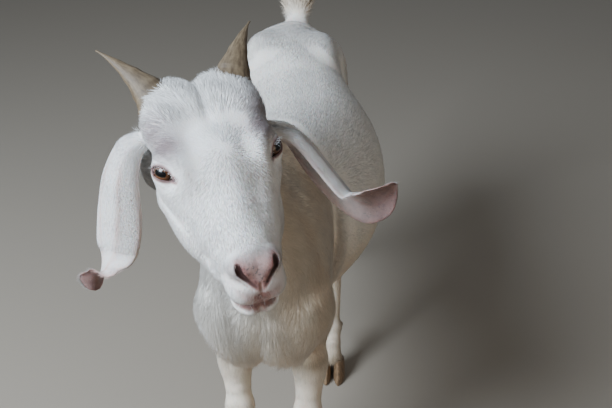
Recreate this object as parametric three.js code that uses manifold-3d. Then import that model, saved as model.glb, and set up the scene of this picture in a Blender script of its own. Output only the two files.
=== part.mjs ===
// A young lop-eared goat, life size, standing still with its head turned to its left.
// Millimetres, +Z up. The goat faces -Y and its left side is +X.
//
// The body is one smooth field: a number for any place in space that is negative inside the goat and
// zero on the tips of its coat. Each region of it is made a mesh, and thin cuts part it into the
// pieces that a person would name. Ears, horns, eyes and claws are shapes of their own.

import * as THREE from 'three';
import * as BufferGeometryUtils from 'three/addons/utils/BufferGeometryUtils.js';
import Module from 'manifold-3d';

const wasm = await Module();
wasm.setup();

// ---------------------------------------------------------------- driving dimensions

const WITHERS_HEIGHT = 602;
const BELLY_HALF_WIDTH = 142;
const CHEST_HALF_WIDTH = 92;
const RUMP_HALF_WIDTH = 78;
const EYE_SPACING = 102;          // between the centres of the two eyeballs
const EYE_RADIUS = 12.2;
const LID_OPENING = [25, 11];     // how far an eye is open, along and across
const HORN_ROUND = 26;            // half of the width of a horn at its root
const EAR_HALF_WIDTH = 37;        // measured round the curl of the ear
const EAR_THICKNESS = 3.6;
const CLAW_LENGTH = 56;
const CLAW_WIDTH = 21;
const CLAW_HEIGHT = 37;
const CUT_GAP = 0.5;              // left between two pieces that were one body
const MERGE = 0.25;               // an edge shorter than this becomes one vertex

// How finely each region is meshed, along x, y and z.
const HEAD_CELL = [10.4, 11.4, 10.1];
const NECK_CELL = [24, 25, 31];
const TRUNK_CELL = [34, 39, 34];
const LEG_CELL = [12.5, 12.5, 29];
const FETLOCK_CELL = [6, 6, 8];
const TAIL_CELL = [14, 14, 18];

const LEFT = 1;
const RIGHT = -1;

// The head's own axes: x to its left, n towards the nose, u out of the forehead.
const HEAD_ORIGIN = new THREE.Vector3(-32, -388, 712);
const HEAD_YAW = THREE.MathUtils.degToRad(25.8);
const HEAD_PITCH = THREE.MathUtils.degToRad(-23.6);
const HEAD_ROLL = THREE.MathUtils.degToRad(-3.8);

// ---------------------------------------------------------------- small tools

const v = (x, y, z) => new THREE.Vector3(x, y, z);

function headMatrix() {
  const turn = new THREE.Matrix4().makeRotationZ(HEAD_YAW);
  const nod = new THREE.Matrix4().makeRotationX(-HEAD_PITCH);
  const tilt = new THREE.Matrix4().makeRotationY(HEAD_ROLL);
  // In the local frame the nose points along -Y, so n = -y.
  return new THREE.Matrix4().makeTranslation(HEAD_ORIGIN).multiply(turn).multiply(nod).multiply(tilt);
}

const HEAD_TO_WORLD = headMatrix();
const WORLD_TO_HEAD = HEAD_TO_WORLD.clone().invert();

const fromHead = (x, n, u) => v(x, -n, u).applyMatrix4(HEAD_TO_WORLD);

// A smooth curve through stations of [position, value], level past both ends.
function curveThrough(stations) {
  return (t) => {
    const last = stations.length - 1;
    if (t <= stations[0][0]) return stations[0][1];
    if (t >= stations[last][0]) return stations[last][1];
    let i = 0;
    while (t > stations[i + 1][0]) i += 1;
    const [t0, a] = stations[i];
    const [t1, b] = stations[i + 1];
    const before = stations[Math.max(i - 1, 0)];
    const after = stations[Math.min(i + 2, last)];
    const s = (t - t0) / (t1 - t0);
    const slopeA = (b - before[1]) / (t1 - before[0]) * (t1 - t0);
    const slopeB = (after[1] - a) / (after[0] - t0) * (t1 - t0);
    const s2 = s * s;
    const s3 = s2 * s;
    return (2 * s3 - 3 * s2 + 1) * a + (s3 - 2 * s2 + s) * slopeA
      + (3 * s2 - 2 * s3) * b + (s3 - s2) * slopeB;
  };
}

// ---------------------------------------------------------------- fields

// Joins two fields with a fillet of about the size k.
function blend(a, b, k) {
  const h = Math.max(k - Math.abs(a - b), 0) / k;
  return Math.min(a, b) - h * h * k * 0.25;
}

function ellipsoid(p, c, r) {
  const x = (p.x - c[0]) / r[0];
  const y = (p.y - c[1]) / r[1];
  const z = (p.z - c[2]) / r[2];
  const k0 = Math.hypot(x, y, z);
  const k1 = Math.hypot(x / r[0], y / r[1], z / r[2]);
  return k1 > 0 ? k0 * (k0 - 1) / k1 : -Math.min(...r);
}

// A rounded limb from a to b whose radius runs from ra to rb, flattened sideways by flat.
function limb(p, a, b, ra, rb, flat = 1) {
  const ax = (p.x - a[0]) / flat;
  const ay = p.y - a[1];
  const az = p.z - a[2];
  const bx = (b[0] - a[0]) / flat;
  const by = b[1] - a[1];
  const bz = b[2] - a[2];
  const h = THREE.MathUtils.clamp((ax * bx + ay * by + az * bz) / (bx * bx + by * by + bz * bz), 0, 1);
  const gap = Math.hypot(ax - h * bx, ay - h * by, az - h * bz) - (ra + h * (rb - ra));
  return gap * (1 + flat) * 0.5;
}

// ---------------------------------------------------------------- head, in its own axes

function headField(world) {
  const q = world.clone().applyMatrix4(WORLD_TO_HEAD);
  const p = v(Math.abs(q.x), -q.y, q.z);
  let d = ellipsoid(p, [0, -48, -36], [50, 54, 42]);                     // braincase
  d = blend(d, ellipsoid(p, [26, -67, -4], [28, 32, 17]), 24);           // poll bumps under the horns
  d = blend(d, ellipsoid(p, [42, -47, -17], [22, 33, 27]), 16);          // temple
  d = blend(d, ellipsoid(p, [0, -6, -26], [54, 34, 27]), 22);            // forehead across the sockets
  d = blend(d, ellipsoid(p, [43, -4, -12], [15, 20, 13]), 12);           // brow
  d = blend(d, ellipsoid(p, [42, -2, -24], [17, 28, 22]), 22);           // rim of the eye socket
  d = blend(d, limb(p, [0, 0, -28], [0, 92, -46], 31, 23), 22);          // bridge of the nose
  d = blend(d, limb(p, [44, -8, -38], [29, 62, -50], 15, 11), 20);       // cheekbone
  d = blend(d, limb(p, [30, 6, -36], [18, 80, -49], 21, 15), 20);        // side of the nose
  d = blend(d, limb(p, [37, -4, -66], [23, 86, -73], 25, 14), 18);     // cheek
  d = blend(d, ellipsoid(p, [26, -10, -70], [27, 50, 36]), 20);          // chewing muscle
  d = blend(d, ellipsoid(p, [33, 34, -68], [20, 34, 20]), 16);           // cheek in front of it
  d = blend(d, ellipsoid(p, [42, -56, -80], [23, 28, 32]), 20);          // corner of the jaw
  d = blend(d, limb(p, [23, -40, -86], [12, 66, -82], 21, 16), 16);      // lower jaw
  d = blend(d, limb(p, [12, 60, -80], [7, 108, -82], 17, 12), 14);       // its front
  d = blend(d, ellipsoid(p, [0, 92, -58], [30, 38, 28]), 14);            // muzzle
  d = blend(d, ellipsoid(p, [12, 114, -65], [19, 20, 15]), 11);          // upper lip
  d = blend(d, ellipsoid(p, [4, 102, -76], [21, 26, 13]), 10);           // lips
  d = blend(d, ellipsoid(p, [13.5, 107, -40], [13, 13, 11]), 9);         // nostril wings
  d = blend(d, ellipsoid(p, [7, 113, -89], [19, 22, 12]), 9);            // chin
  return d;
}

// ---------------------------------------------------------------- neck and trunk

function neckField(p) {
  const skull = fromHead(0, -68, -52).toArray();
  let d = limb(p, skull, [-54, -243, 618], 39, 52, 0.94);
  d = blend(d, limb(p, [-54, -243, 618], [-14, -196, 505], 52, 84, 0.8), 30);
  d = blend(d, limb(p, [-34, -208, 640], [0, -130, 575], 30, 34, 0.7), 30);   // crest to the withers
  return d;
}

const trunkTop = curveThrough([[-270, 535], [-215, 580], [-140, WITHERS_HEIGHT - 6], [-60, 592], [40, 586],
  [130, 591], [215, 606], [280, 606], [345, 590], [400, 552]]);
const trunkBottom = curveThrough([[-285, 365], [-220, 332], [-150, 320], [-60, 284], [35, 256], [125, 256],
  [190, 300], [250, 376], [330, 425], [400, 470]]);
const trunkHalfWidth = curveThrough([[-285, 62], [-220, 72], [-150, CHEST_HALF_WIDTH - 2], [-60, 117],
  [40, BELLY_HALF_WIDTH - 1], [110, BELLY_HALF_WIDTH], [185, 116], [250, RUMP_HALF_WIDTH + 8],
  [330, RUMP_HALF_WIDTH - 3], [400, RUMP_HALF_WIDTH - 18]]);
// The rumen fills the goat's left side, so the belly leans that way.
const trunkLean = curveThrough([[-285, -12], [-150, -8], [-30, 3], [40, 10], [120, 13], [230, -5],
  [400, -11]]);

const TRUNK_FRONT = -292;
const TRUNK_BACK = 404;
const FRONT_ROUND = 70;
const BACK_ROUND = 90;
// How much narrower the back is than the belly: an egg at the chest, wide and flat at the hips.
const trunkEgg = curveThrough([[-285, 0.2], [-80, 0.2], [60, 0.11], [150, 0.03], [240, -0.08], [400, 0.1]]);

function trunkField(p) {
  const y = THREE.MathUtils.clamp(p.y, TRUNK_FRONT + FRONT_ROUND, TRUNK_BACK - BACK_ROUND);
  const round = p.y < y ? FRONT_ROUND : BACK_ROUND;
  const top = trunkTop(y);
  const bottom = trunkBottom(y);
  const half = (top - bottom) / 2;
  const rise = (p.z - (top + bottom) / 2) / half;
  const width = trunkHalfWidth(y) * (1 - trunkEgg(y) * THREE.MathUtils.clamp(rise, -1, 1));
  const side = (p.x - trunkLean(y)) / width;
  const end = (p.y - y) / round;
  const k = Math.hypot(side, rise, end);
  return (k - 1) * Math.min(width, half) * 0.9;
}

function girdleField(p) {
  const q = v(Math.abs(p.x - trunkLean(p.y)), p.y, p.z);
  let d = limb(q, [40, -142, 556], [58, -232, 420], 34, 36, 0.8);        // shoulder blade
  d = blend(d, limb(q, [60, -236, 405], [54, -184, 355], 30, 28), 24);   // upper arm
  d = blend(d, ellipsoid(q, [26, -256, 380], [47, 32, 54]), 30);         // breast
  d = blend(d, ellipsoid(q, [50, 240, 568], [26, 44, 28]), 30);          // point of the hip
  d = blend(d, ellipsoid(q, [36, 376, 525], [24, 26, 26]), 26);          // pin bone
  return d;
}

// ---------------------------------------------------------------- legs

// Joint centres from the top of each leg down. The left hind leg is stepping forward.
const LEGS = {
  foreleg_left: {
    side: LEFT, elbow: [47, -182, 350], knee: [43, -216, 207],
    fetlock: [43, -212, 80], foot: [44, -233, 39],
  },
  foreleg_right: {
    side: RIGHT, elbow: [-64, -180, 350], knee: [-54, -206, 207],
    fetlock: [-54, -198, 80], foot: [-55, -219, 39],
  },
  hindleg_left: {
    side: LEFT, hip: [50, 286, 505], stifle: [84, 158, 382], hock: [76, 226, 226],
    fetlock: [74, 122, 86], foot: [74, 95, 40],
  },
  hindleg_right: {
    side: RIGHT, hip: [-55, 294, 505], stifle: [-84, 196, 372], hock: [-70, 336, 238],
    fetlock: [-73, 318, 84], foot: [-75, 294, 40],
  },
};

const shifted = (a, dx, dy, dz) => [a[0] + dx, a[1] + dy, a[2] + dz];
const between = (a, b, t) => a.map((value, i) => value + (b[i] - value) * t);

function footField(p, leg, shank) {
  const pastern = between(leg.fetlock, leg.foot, 0.5);
  let d = limb(p, leg.fetlock, pastern, 17, 15);
  d = blend(d, limb(p, pastern, leg.foot, 15, 19), 8);
  d = blend(d, ellipsoid(p, shifted(leg.fetlock, 0, 6, -4), [17, 16, 17]), 8);
  d = blend(d, limb(p, shifted(leg.fetlock, 0, 3, 0), shank, 14, 14), 8);
  return d;
}

function forelegField(p, leg) {
  const below = between(leg.knee, leg.fetlock, 0.3);
  let d = limb(p, leg.elbow, between(leg.elbow, leg.knee, 0.45), 35, 28, 0.84);
  d = blend(d, limb(p, between(leg.elbow, leg.knee, 0.45), leg.knee, 27, 20, 0.95), 20);
  d = blend(d, ellipsoid(p, shifted(leg.elbow, 0, 22, 2), [17, 18, 20]), 14);    // point of the elbow
  d = blend(d, ellipsoid(p, shifted(leg.knee, 0, -3, 0), [23, 20, 26]), 12);
  d = blend(d, limb(p, leg.knee, below, 18, 14), 10);
  return blend(d, footField(p, leg, below), 8);
}

function hindlegField(p, leg) {
  const below = between(leg.hock, leg.fetlock, 0.3);
  const heel = shifted(leg.hock, 0, 19, 17);
  const gaskin = between(leg.stifle, leg.hock, 0.4);
  const buttock = [leg.side * 40 - 3, 352, 472];
  let d = limb(p, leg.hip, leg.stifle, 76, 44, 0.56);                            // thigh
  d = blend(d, limb(p, buttock, shifted(gaskin, 0, 16, 0), 48, 28, 0.62), 24);    // back of the thigh
  d = blend(d, limb(p, leg.stifle, leg.hock, 36, 17, 0.72), 26);
  d = blend(d, limb(p, shifted(gaskin, 0, 20, 0), heel, 22, 8), 12);             // hamstring
  d = blend(d, ellipsoid(p, heel, [11, 11, 15]), 8);                             // point of the hock
  d = blend(d, ellipsoid(p, leg.hock, [18, 20, 27]), 12);
  d = blend(d, limb(p, leg.hock, below, 19, 14.5, 0.85), 12);
  return blend(d, footField(p, leg, below), 8);
}

// ---------------------------------------------------------------- tail and whole body

function tailField(p) {
  let d = limb(p, [-4, 366, 570], [-4, 388, 604], 20, 22, 1.3);
  d = blend(d, limb(p, [-4, 388, 604], [-2, 398, 652], 22, 23, 1.35), 14);
  return blend(d, limb(p, [-2, 398, 652], [3, 386, 712], 22, 8, 1.35), 14);
}

function bodyField(p) {
  let d = blend(trunkField(p), girdleField(p), 34);
  d = blend(d, neckField(p), 46);
  for (const name of ['hindleg_left', 'hindleg_right']) {
    d = blend(d, hindlegField(p, LEGS[name]), 26);
  }
  for (const name of ['foreleg_left', 'foreleg_right']) {
    d = blend(d, forelegField(p, LEGS[name]), 24);
  }
  d = blend(d, tailField(p), 16);
  return blend(d, headField(p), 24);
}

// ---------------------------------------------------------------- from a field to a mesh

// Makes a closed mesh of the field's zero level inside a box, with one vertex in each cell that the
// surface crosses, moved onto the surface. Past the box everything counts as outside.
function meshField(field, low, high, cell, level = 0) {
  const count = low.map((value, i) => Math.ceil((high[i] - value) / cell[i]) + 1);
  const at = (i, j, k) => (k * count[1] + j) * count[0] + i;
  const values = new Float64Array(count[0] * count[1] * count[2]);
  const place = (i, j, k) => v(low[0] + i * cell[0], low[1] + j * cell[1], low[2] + k * cell[2]);
  const onRim = (i, j, k) => [i, j, k].some((value, axis) => value === 0 || value === count[axis] - 1);
  for (let k = 0; k < count[2]; k += 1) {
    for (let j = 0; j < count[1]; j += 1) {
      for (let i = 0; i < count[0]; i += 1) {
        const d = field(place(i, j, k)) - level;
        values[at(i, j, k)] = onRim(i, j, k) ? Math.max(d, cell[0] * 0.5) : d;
      }
    }
  }
  fillPinches(values, count, at);
  const corners = [0, 1, 2, 3, 4, 5, 6, 7].map((c) => [c & 1, (c >> 1) & 1, (c >> 2) & 1]);
  const edges = [[0, 1], [2, 3], [4, 5], [6, 7], [0, 2], [1, 3], [4, 6], [5, 7],
    [0, 4], [1, 5], [2, 6], [3, 7]];
  const positions = [];
  const vertexOf = new Map();
  for (let k = 0; k < count[2] - 1; k += 1) {
    for (let j = 0; j < count[1] - 1; j += 1) {
      for (let i = 0; i < count[0] - 1; i += 1) {
        const d = corners.map(([a, b, c]) => values[at(i + a, j + b, k + c)]);
        const sum = v(0, 0, 0);
        let crossings = 0;
        for (const [a, b] of edges) {
          if ((d[a] < 0) !== (d[b] < 0)) {
            const t = d[a] / (d[a] - d[b]);
            const from = place(i + corners[a][0], j + corners[a][1], k + corners[a][2]);
            const to = place(i + corners[b][0], j + corners[b][1], k + corners[b][2]);
            sum.add(from.lerp(to, t));
            crossings += 1;
          }
        }
        if (crossings > 0) {
          const inRim = onRim(i, j, k) || onRim(i + 1, j + 1, k + 1);
          const point = sum.divideScalar(crossings);
          vertexOf.set(at(i, j, k), positions.length);
          positions.push(inRim ? point : settle(point, field, level, place(i, j, k), cell));
        }
      }
    }
  }
  const triangles = [];
  const steps = [[1, 0, 0], [0, 1, 0], [0, 0, 1]];
  for (let k = 0; k < count[2] - 1; k += 1) {
    for (let j = 0; j < count[1] - 1; j += 1) {
      for (let i = 0; i < count[0] - 1; i += 1) {
        const here = values[at(i, j, k)] < 0;
        for (let axis = 0; axis < 3; axis += 1) {
          const [a, b, c] = steps[axis];
          const next = values[at(i + a, j + b, k + c)] < 0;
          if (here !== next) {
            const [e, f] = [steps[(axis + 1) % 3], steps[(axis + 2) % 3]];
            const around = [[1, 1], [0, 1], [0, 0], [1, 0]].map(([s, t]) => vertexOf.get(
              at(i - s * e[0] - t * f[0], j - s * e[1] - t * f[1], k - s * e[2] - t * f[2])));
            addQuad(triangles, positions, here ? around : around.reverse());
          }
        }
      }
    }
  }
  return indexed(positions, triangles);
}

// Where only two opposite corners of a grid square are inside, two surfaces would touch along a line.
// One of its other corners is put inside too, until there is no such square.
function fillPinches(values, count, at) {
  let changed = true;
  while (changed) {
    changed = false;
    for (let k = 1; k < count[2] - 1; k += 1) {
      for (let j = 1; j < count[1] - 1; j += 1) {
        for (let i = 1; i < count[0] - 1; i += 1) {
          const here = at(i, j, k);
          for (const [a, b] of [[at(i + 1, j, k), at(i, j + 1, k)], [at(i, j + 1, k), at(i, j, k + 1)],
            [at(i + 1, j, k), at(i, j, k + 1)]]) {
            const across = a + b - here;
            const inside = [here, a, across, b].map((index) => values[index] < 0);
            if (inside[0] === inside[2] && inside[1] === inside[3] && inside[0] !== inside[1]) {
              const [p, q] = inside[0] ? [a, b] : [here, across];
              values[values[p] < values[q] ? p : q] = -0.5;
              changed = true;
            }
          }
        }
      }
    }
  }
}

// Moves a point along the field's slope onto its level, without leaving the middle of its cell.
function settle(point, field, level, corner, cell) {
  const step = 0.5;
  const margin = v(...cell).multiplyScalar(0.06);
  const low = corner.clone().add(margin);
  const high = corner.clone().add(v(...cell)).sub(margin);
  for (let round = 0; round < 4; round += 1) {
    const d = field(point) - level;
    const slope = v(
      field(v(point.x + step, point.y, point.z)) - field(v(point.x - step, point.y, point.z)),
      field(v(point.x, point.y + step, point.z)) - field(v(point.x, point.y - step, point.z)),
      field(v(point.x, point.y, point.z + step)) - field(v(point.x, point.y, point.z - step)),
    ).divideScalar(2 * step);
    point.addScaledVector(slope, -d / Math.max(slope.lengthSq(), 0.2));
  }
  return point.clamp(low, high);
}

function addQuad(triangles, positions, [a, b, c, d]) {
  const short = positions[a].distanceToSquared(positions[c]) < positions[b].distanceToSquared(positions[d]);
  if (short) triangles.push(a, b, c, a, c, d);
  else triangles.push(a, b, d, b, c, d);
}

function indexed(points, triangles) {
  const geometry = new THREE.BufferGeometry();
  const flat = points.flatMap((p) => [p.x, p.y, p.z]);
  geometry.setAttribute('position', new THREE.Float32BufferAttribute(flat, 3));
  geometry.setIndex(triangles);
  return geometry;
}

// ---------------------------------------------------------------- solids and lofts

function toSolid(geometry) {
  const bare = geometry.clone();
  bare.deleteAttribute('normal');
  bare.deleteAttribute('uv');
  const merged = BufferGeometryUtils.mergeVertices(bare, 1e-4);
  return new wasm.Manifold(new wasm.Mesh({
    numProp: 3,
    vertProperties: new Float32Array(merged.attributes.position.array),
    triVerts: new Uint32Array(merged.index.array),
  }));
}

// Cuts leave vertices a hair apart. The ends of each very short edge are merged here, and what
// collapses by it is dropped: triangles that became lines, and pairs that became two sides of one.
function toGeometry(solid) {
  const { vertProperties, triVerts } = solid.getMesh();
  const count = vertProperties.length / 3;
  const points = Array.from({ length: count }, (_, i) => v(...vertProperties.slice(3 * i, 3 * i + 3)));
  const merged = points.map((_, i) => i);
  const root = (i) => (merged[i] === i ? i : root(merged[i]));
  for (let i = 0; i < triVerts.length; i += 3) {
    for (const [a, b] of [[0, 1], [1, 2], [2, 0]]) {
      const [from, to] = [root(triVerts[i + a]), root(triVerts[i + b])];
      if (from !== to && points[from].distanceTo(points[to]) < MERGE) {
        merged[Math.max(from, to)] = Math.min(from, to);
      }
    }
  }
  const kept = new Map();
  for (let i = 0; i < triVerts.length; i += 3) {
    const corners = [0, 1, 2].map((k) => root(triVerts[i + k]));
    if (new Set(corners).size === 3) {
      const key = corners.slice().sort((a, b) => a - b).join();
      if (kept.has(key)) kept.delete(key);
      else kept.set(key, corners);
    }
  }
  const geometry = indexed(points, [...kept.values()].flat());
  const clean = BufferGeometryUtils.mergeVertices(geometry, 1e-4);
  clean.computeVertexNormals();
  return clean;
}

// A closed skin over rings of points, each ring with the same count, with a fan over each end.
function loft(rings) {
  const n = rings[0].length;
  const points = rings.flat();
  const middle = (ring) => ring.reduce((sum, p) => sum.add(p), v(0, 0, 0)).divideScalar(ring.length);
  points.push(middle(rings[0]), middle(rings[rings.length - 1]));
  const triangles = [];
  for (let r = 0; r < rings.length - 1; r += 1) {
    for (let i = 0; i < n; i += 1) {
      const a = r * n + i;
      const b = r * n + (i + 1) % n;
      triangles.push(a, b, a + n, b, b + n, a + n);
    }
  }
  const start = points.length - 2;
  const lastRing = (rings.length - 1) * n;
  for (let i = 0; i < n; i += 1) {
    triangles.push(start, (i + 1) % n, i);
    triangles.push(start + 1, lastRing + i, lastRing + (i + 1) % n);
  }
  const volume = enclosed(points, triangles);
  return toSolid(indexed(points, volume > 0 ? triangles : triangles.reverse()));
}

function enclosed(points, triangles) {
  let volume = 0;
  for (let i = 0; i < triangles.length; i += 3) {
    const [a, b, c] = [0, 1, 2].map((k) => points[triangles[i + k]]);
    volume += a.dot(b.clone().cross(c));
  }
  return volume / 6;
}

// A large block whose face passes through a point, on the side that the direction points to.
function halfSpace(point, direction, shift = 0) {
  const size = 1600;
  const turn = new THREE.Quaternion().setFromUnitVectors(v(0, 0, 1), direction.clone().normalize());
  const centre = direction.clone().normalize().multiplyScalar(size / 2 + shift).add(point);
  const matrix = new THREE.Matrix4().compose(centre, turn, v(1, 1, 1));
  return toSolid(new THREE.BoxGeometry(size, size, size).applyMatrix4(matrix));
}

function block(low, high) {
  const size = high.map((value, i) => value - low[i]);
  const centre = high.map((value, i) => (value + low[i]) / 2);
  return toSolid(new THREE.BoxGeometry(...size).translate(...centre));
}

// ---------------------------------------------------------------- the goat, built up in a group

const goat = new THREE.Group();

function addPiece(name, solid, color, roughness) {
  const material = new THREE.MeshStandardMaterial({ color, roughness, metalness: 0 });
  const mesh = new THREE.Mesh(toGeometry(solid), material);
  mesh.name = name;
  goat.add(mesh);
}

const COAT = '#ece6da';
const FACE_COAT = '#eef0ef';
const PINK_SKIN = '#d9b6a6';
const HORN = '#8d8070';
const EYE = '#5a3316';
const CLAW = '#8c6f5c';
const COAT_ROUGHNESS = 0.85;
const HORN_ROUGHNESS = 0.6;
const EYE_ROUGHNESS = 0.1;

// ---------------------------------------------------------------- cuts between flesh pieces

const NECK_TOP_CUT = { point: v(-71.6, -284.6, 685.8), toHead: v(0.1, -0.96, 0.26) };
const NECK_BASE_CUT = { point: v(0, -205, 540), toNeck: v(0, -0.79, 0.614) };
const TAIL_CUT = { point: v(0, 386, 588), toTail: v(0, 0.35, 0.94) };

const clear = CUT_GAP / 2;

// ---------------------------------------------------------------- eyes

const eyeCentre = (side) => fromHead(side * EYE_SPACING / 2, -3, -21);

function eyeball(side, grown = 0) {
  const ball = new THREE.SphereGeometry(EYE_RADIUS + grown, 12, 8);
  const centre = eyeCentre(side);
  return toSolid(ball.translate(centre.x, centre.y, centre.z));
}

// The lids part over each eye in a slanting oval.
function lidOpening(side) {
  const out = v(side * 0.641, -0.501, 0.581);
  const up = v(side * -0.358, 0.474, 0.804);
  const axes = new THREE.Matrix4().makeBasis(up.clone().cross(out), up, out);
  const oval = new THREE.SphereGeometry(1, 10, 6).scale(LID_OPENING[0] / 2, LID_OPENING[1] / 2, EYE_RADIUS);
  const middle = v(side * EYE_SPACING / 2, 3, -21).addScaledVector(out, EYE_RADIUS);
  return toSolid(oval.applyMatrix4(axes.setPosition(middle)).applyMatrix4(HEAD_TO_WORLD));
}

// ---------------------------------------------------------------- head and neck

const HEAD_LOW = [-9 * HEAD_CELL[0], -152, -150];
const HEAD_HIGH = [9 * HEAD_CELL[0], 150, 40];

// The head is meshed along its own axes, so that both of its sides come out alike.
function headSolid(level) {
  const field = (p) => bodyField(p.clone().applyMatrix4(HEAD_TO_WORLD));
  return toSolid(meshField(field, HEAD_LOW, HEAD_HIGH, HEAD_CELL, level).applyMatrix4(HEAD_TO_WORLD));
}

function makeHead() {
  const { point, toHead } = NECK_TOP_CUT;
  let solid = headSolid(0).intersect(halfSpace(point, toHead, clear));
  for (const side of [LEFT, RIGHT]) {
    solid = solid.subtract(eyeball(side, CUT_GAP)).subtract(lidOpening(side));
  }
  return solid;
}

const grownHead = headSolid(CUT_GAP * 2);

function makeNeck() {
  const { point, toHead } = NECK_TOP_CUT;
  const { point: base, toNeck } = NECK_BASE_CUT;
  const solid = toSolid(meshField(bodyField, [-160, -360, 340], [120, -60, 790], NECK_CELL));
  return solid.intersect(halfSpace(point, toHead.clone().negate(), clear))
    .intersect(halfSpace(base, toNeck, clear));
}

addPiece('head', makeHead(), FACE_COAT, COAT_ROUGHNESS);
addPiece('neck', makeNeck(), COAT, COAT_ROUGHNESS);

// ---------------------------------------------------------------- ears

// Each ear is a curled leaf along a path. "opening" is where its hollow side looks, at four places from
// root to tip. The right ear hangs, the left one swings out, and both tips turn up.
const OPENING_AT = [0, 0.72, 0.86, 0.95];
const EARS = {
  ear_left: {
    path: [[15, -321, 701], [34, -314, 686], [54, -316, 662], [72, -322, 641], [93, -334, 625],
      [114, -343, 630], [137, -346, 655]],
    opening: [[-0.72, -0.5, -0.45], [-0.7, -0.45, -0.5], [-0.4, -0.65, -0.65], [0.1, -0.8, -0.6]],
  },
  ear_right: {
    path: [[-109, -351, 710], [-127, -357, 696], [-141, -363, 664], [-147, -368, 626], [-151, -372, 597],
      [-155, -377, 573], [-161, -387, 562], [-172, -393, 560], [-184, -393, 563]],
    opening: [[0.7, 0.7, -0.1], [0.5, 0.85, 0], [0.7, 0.05, -0.6], [-0.1, -0.95, 0.2]],
  },
};

const earHalfWidth = curveThrough([[0, 15], [0.15, 25], [0.4, EAR_HALF_WIDTH - 1], [0.6, EAR_HALF_WIDTH],
  [0.8, EAR_HALF_WIDTH - 9], [0.93, 15], [1, 4]]);
const earCurl = curveThrough([[0, 1.9], [0.2, 1.5], [0.5, 1.15], [0.8, 0.8], [1, 0.35]]);

function earRing(centre, tangent, opening, t) {
  const across = tangent.clone().cross(opening).normalize();
  const inward = across.clone().cross(tangent).normalize();
  const curl = earCurl(t);
  const radius = earHalfWidth(t) / curl;
  const steps = 5;
  const ring = [];
  const spot = (angle, r) => centre.clone()
    .addScaledVector(across, r * Math.sin(angle))
    .addScaledVector(inward, radius * (1 + Math.cos(curl)) / 2 - r * Math.cos(angle));
  for (let i = 0; i <= steps; i += 1) {
    ring.push(spot(curl * (2 * i / steps - 1), radius + EAR_THICKNESS / 2));
  }
  for (let i = steps; i >= 0; i -= 1) {
    ring.push(spot(curl * (2 * i / steps - 1), radius - EAR_THICKNESS / 2));
  }
  return ring;
}

function makeEar({ path, opening }) {
  const curve = new THREE.CatmullRomCurve3(path.map((p) => v(...p)), false, 'centripetal');
  const looks = opening.map((d) => v(...d).normalize());
  const rings = [];
  const stations = 13;
  for (let s = 0; s <= stations; s += 1) {
    const t = s / stations;
    const past = OPENING_AT.findIndex((end) => end >= t);
    const k = past < 0 ? OPENING_AT.length - 1 : Math.max(past, 1);
    const share = Math.min((t - OPENING_AT[k - 1]) / (OPENING_AT[k] - OPENING_AT[k - 1]), 1);
    const look = looks[k - 1].clone().lerp(looks[k], share);
    rings.push(earRing(curve.getPointAt(t), curve.getTangentAt(t), look, t));
  }
  return loft(rings).subtract(grownHead);
}

addPiece('ear_left', makeEar(EARS.ear_left), PINK_SKIN, COAT_ROUGHNESS);
addPiece('ear_right', makeEar(EARS.ear_right), PINK_SKIN, COAT_ROUGHNESS);

// ---------------------------------------------------------------- horns

// Short horns, flattened and wide at the root, that sweep back and out to a point. The left one arches more.
function makeHorn(side, arch) {
  const root = fromHead(side * 36, -76, -10);
  const tip = fromHead(side * 81, -152, 4);
  const curve = new THREE.QuadraticBezierCurve3(root, fromHead(side * 54, -114, arch), tip);
  const outward = fromHead(side, 0, 0).sub(fromHead(0, 0, 0));
  const rings = [];
  const stations = 10;
  const around = 10;
  for (let s = 0; s <= stations; s += 1) {
    const t = s / stations;
    const tangent = curve.getTangentAt(t);
    const wide = outward.clone().addScaledVector(tangent, -outward.dot(tangent)).normalize();
    const thin = tangent.clone().cross(wide);
    const ridge = 1 + 0.035 * Math.sin(t * Math.PI * 9);
    const size = HORN_ROUND * Math.max((1 - t) * (0.62 + 0.38 * (1 - t) ** 2) * ridge, 0.06);
    const ring = [];
    for (let i = 0; i < around; i += 1) {
      const angle = 2 * Math.PI * i / around;
      ring.push(curve.getPointAt(t)
        .addScaledVector(wide, size * Math.cos(angle))
        .addScaledVector(thin, size * 0.68 * Math.sin(angle)));
    }
    rings.push(ring);
  }
  return loft(rings).subtract(grownHead);
}

addPiece('horn_left', makeHorn(LEFT, 17), HORN, HORN_ROUGHNESS);
addPiece('horn_right', makeHorn(RIGHT, 6), HORN, HORN_ROUGHNESS);
addPiece('eye_left', eyeball(LEFT), EYE, EYE_ROUGHNESS);
addPiece('eye_right', eyeball(RIGHT), EYE, EYE_ROUGHNESS);

// ---------------------------------------------------------------- legs and claws

const CORONET_SLOPE = 0.26;      // how much the top of the claws drops towards the toe

function coronetPlane(leg) {
  const [x, y] = leg.foot;
  return { point: v(x, y, CLAW_HEIGHT - 3), up: v(0, CORONET_SLOPE, 1).normalize() };
}

// Where each leg leaves the trunk, and where its upper and lower lengths part.
const LEG_CUTS = {
  foreleg_left: { low: [-5, -330], high: [140, -130], top: 298, split: 170 },
  foreleg_right: { low: [-140, -330], high: [-12, -130], top: 298, split: 170 },
  hindleg_left: { low: [18, 172], high: [150, 330], top: 276, split: 190 },
  hindleg_right: { low: [-150, 210], high: [-18, 440], top: 300, split: 202 },
};

const legField = (leg) => (leg.elbow ? (p) => forelegField(p, leg) : (p) => hindlegField(p, leg));

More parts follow.
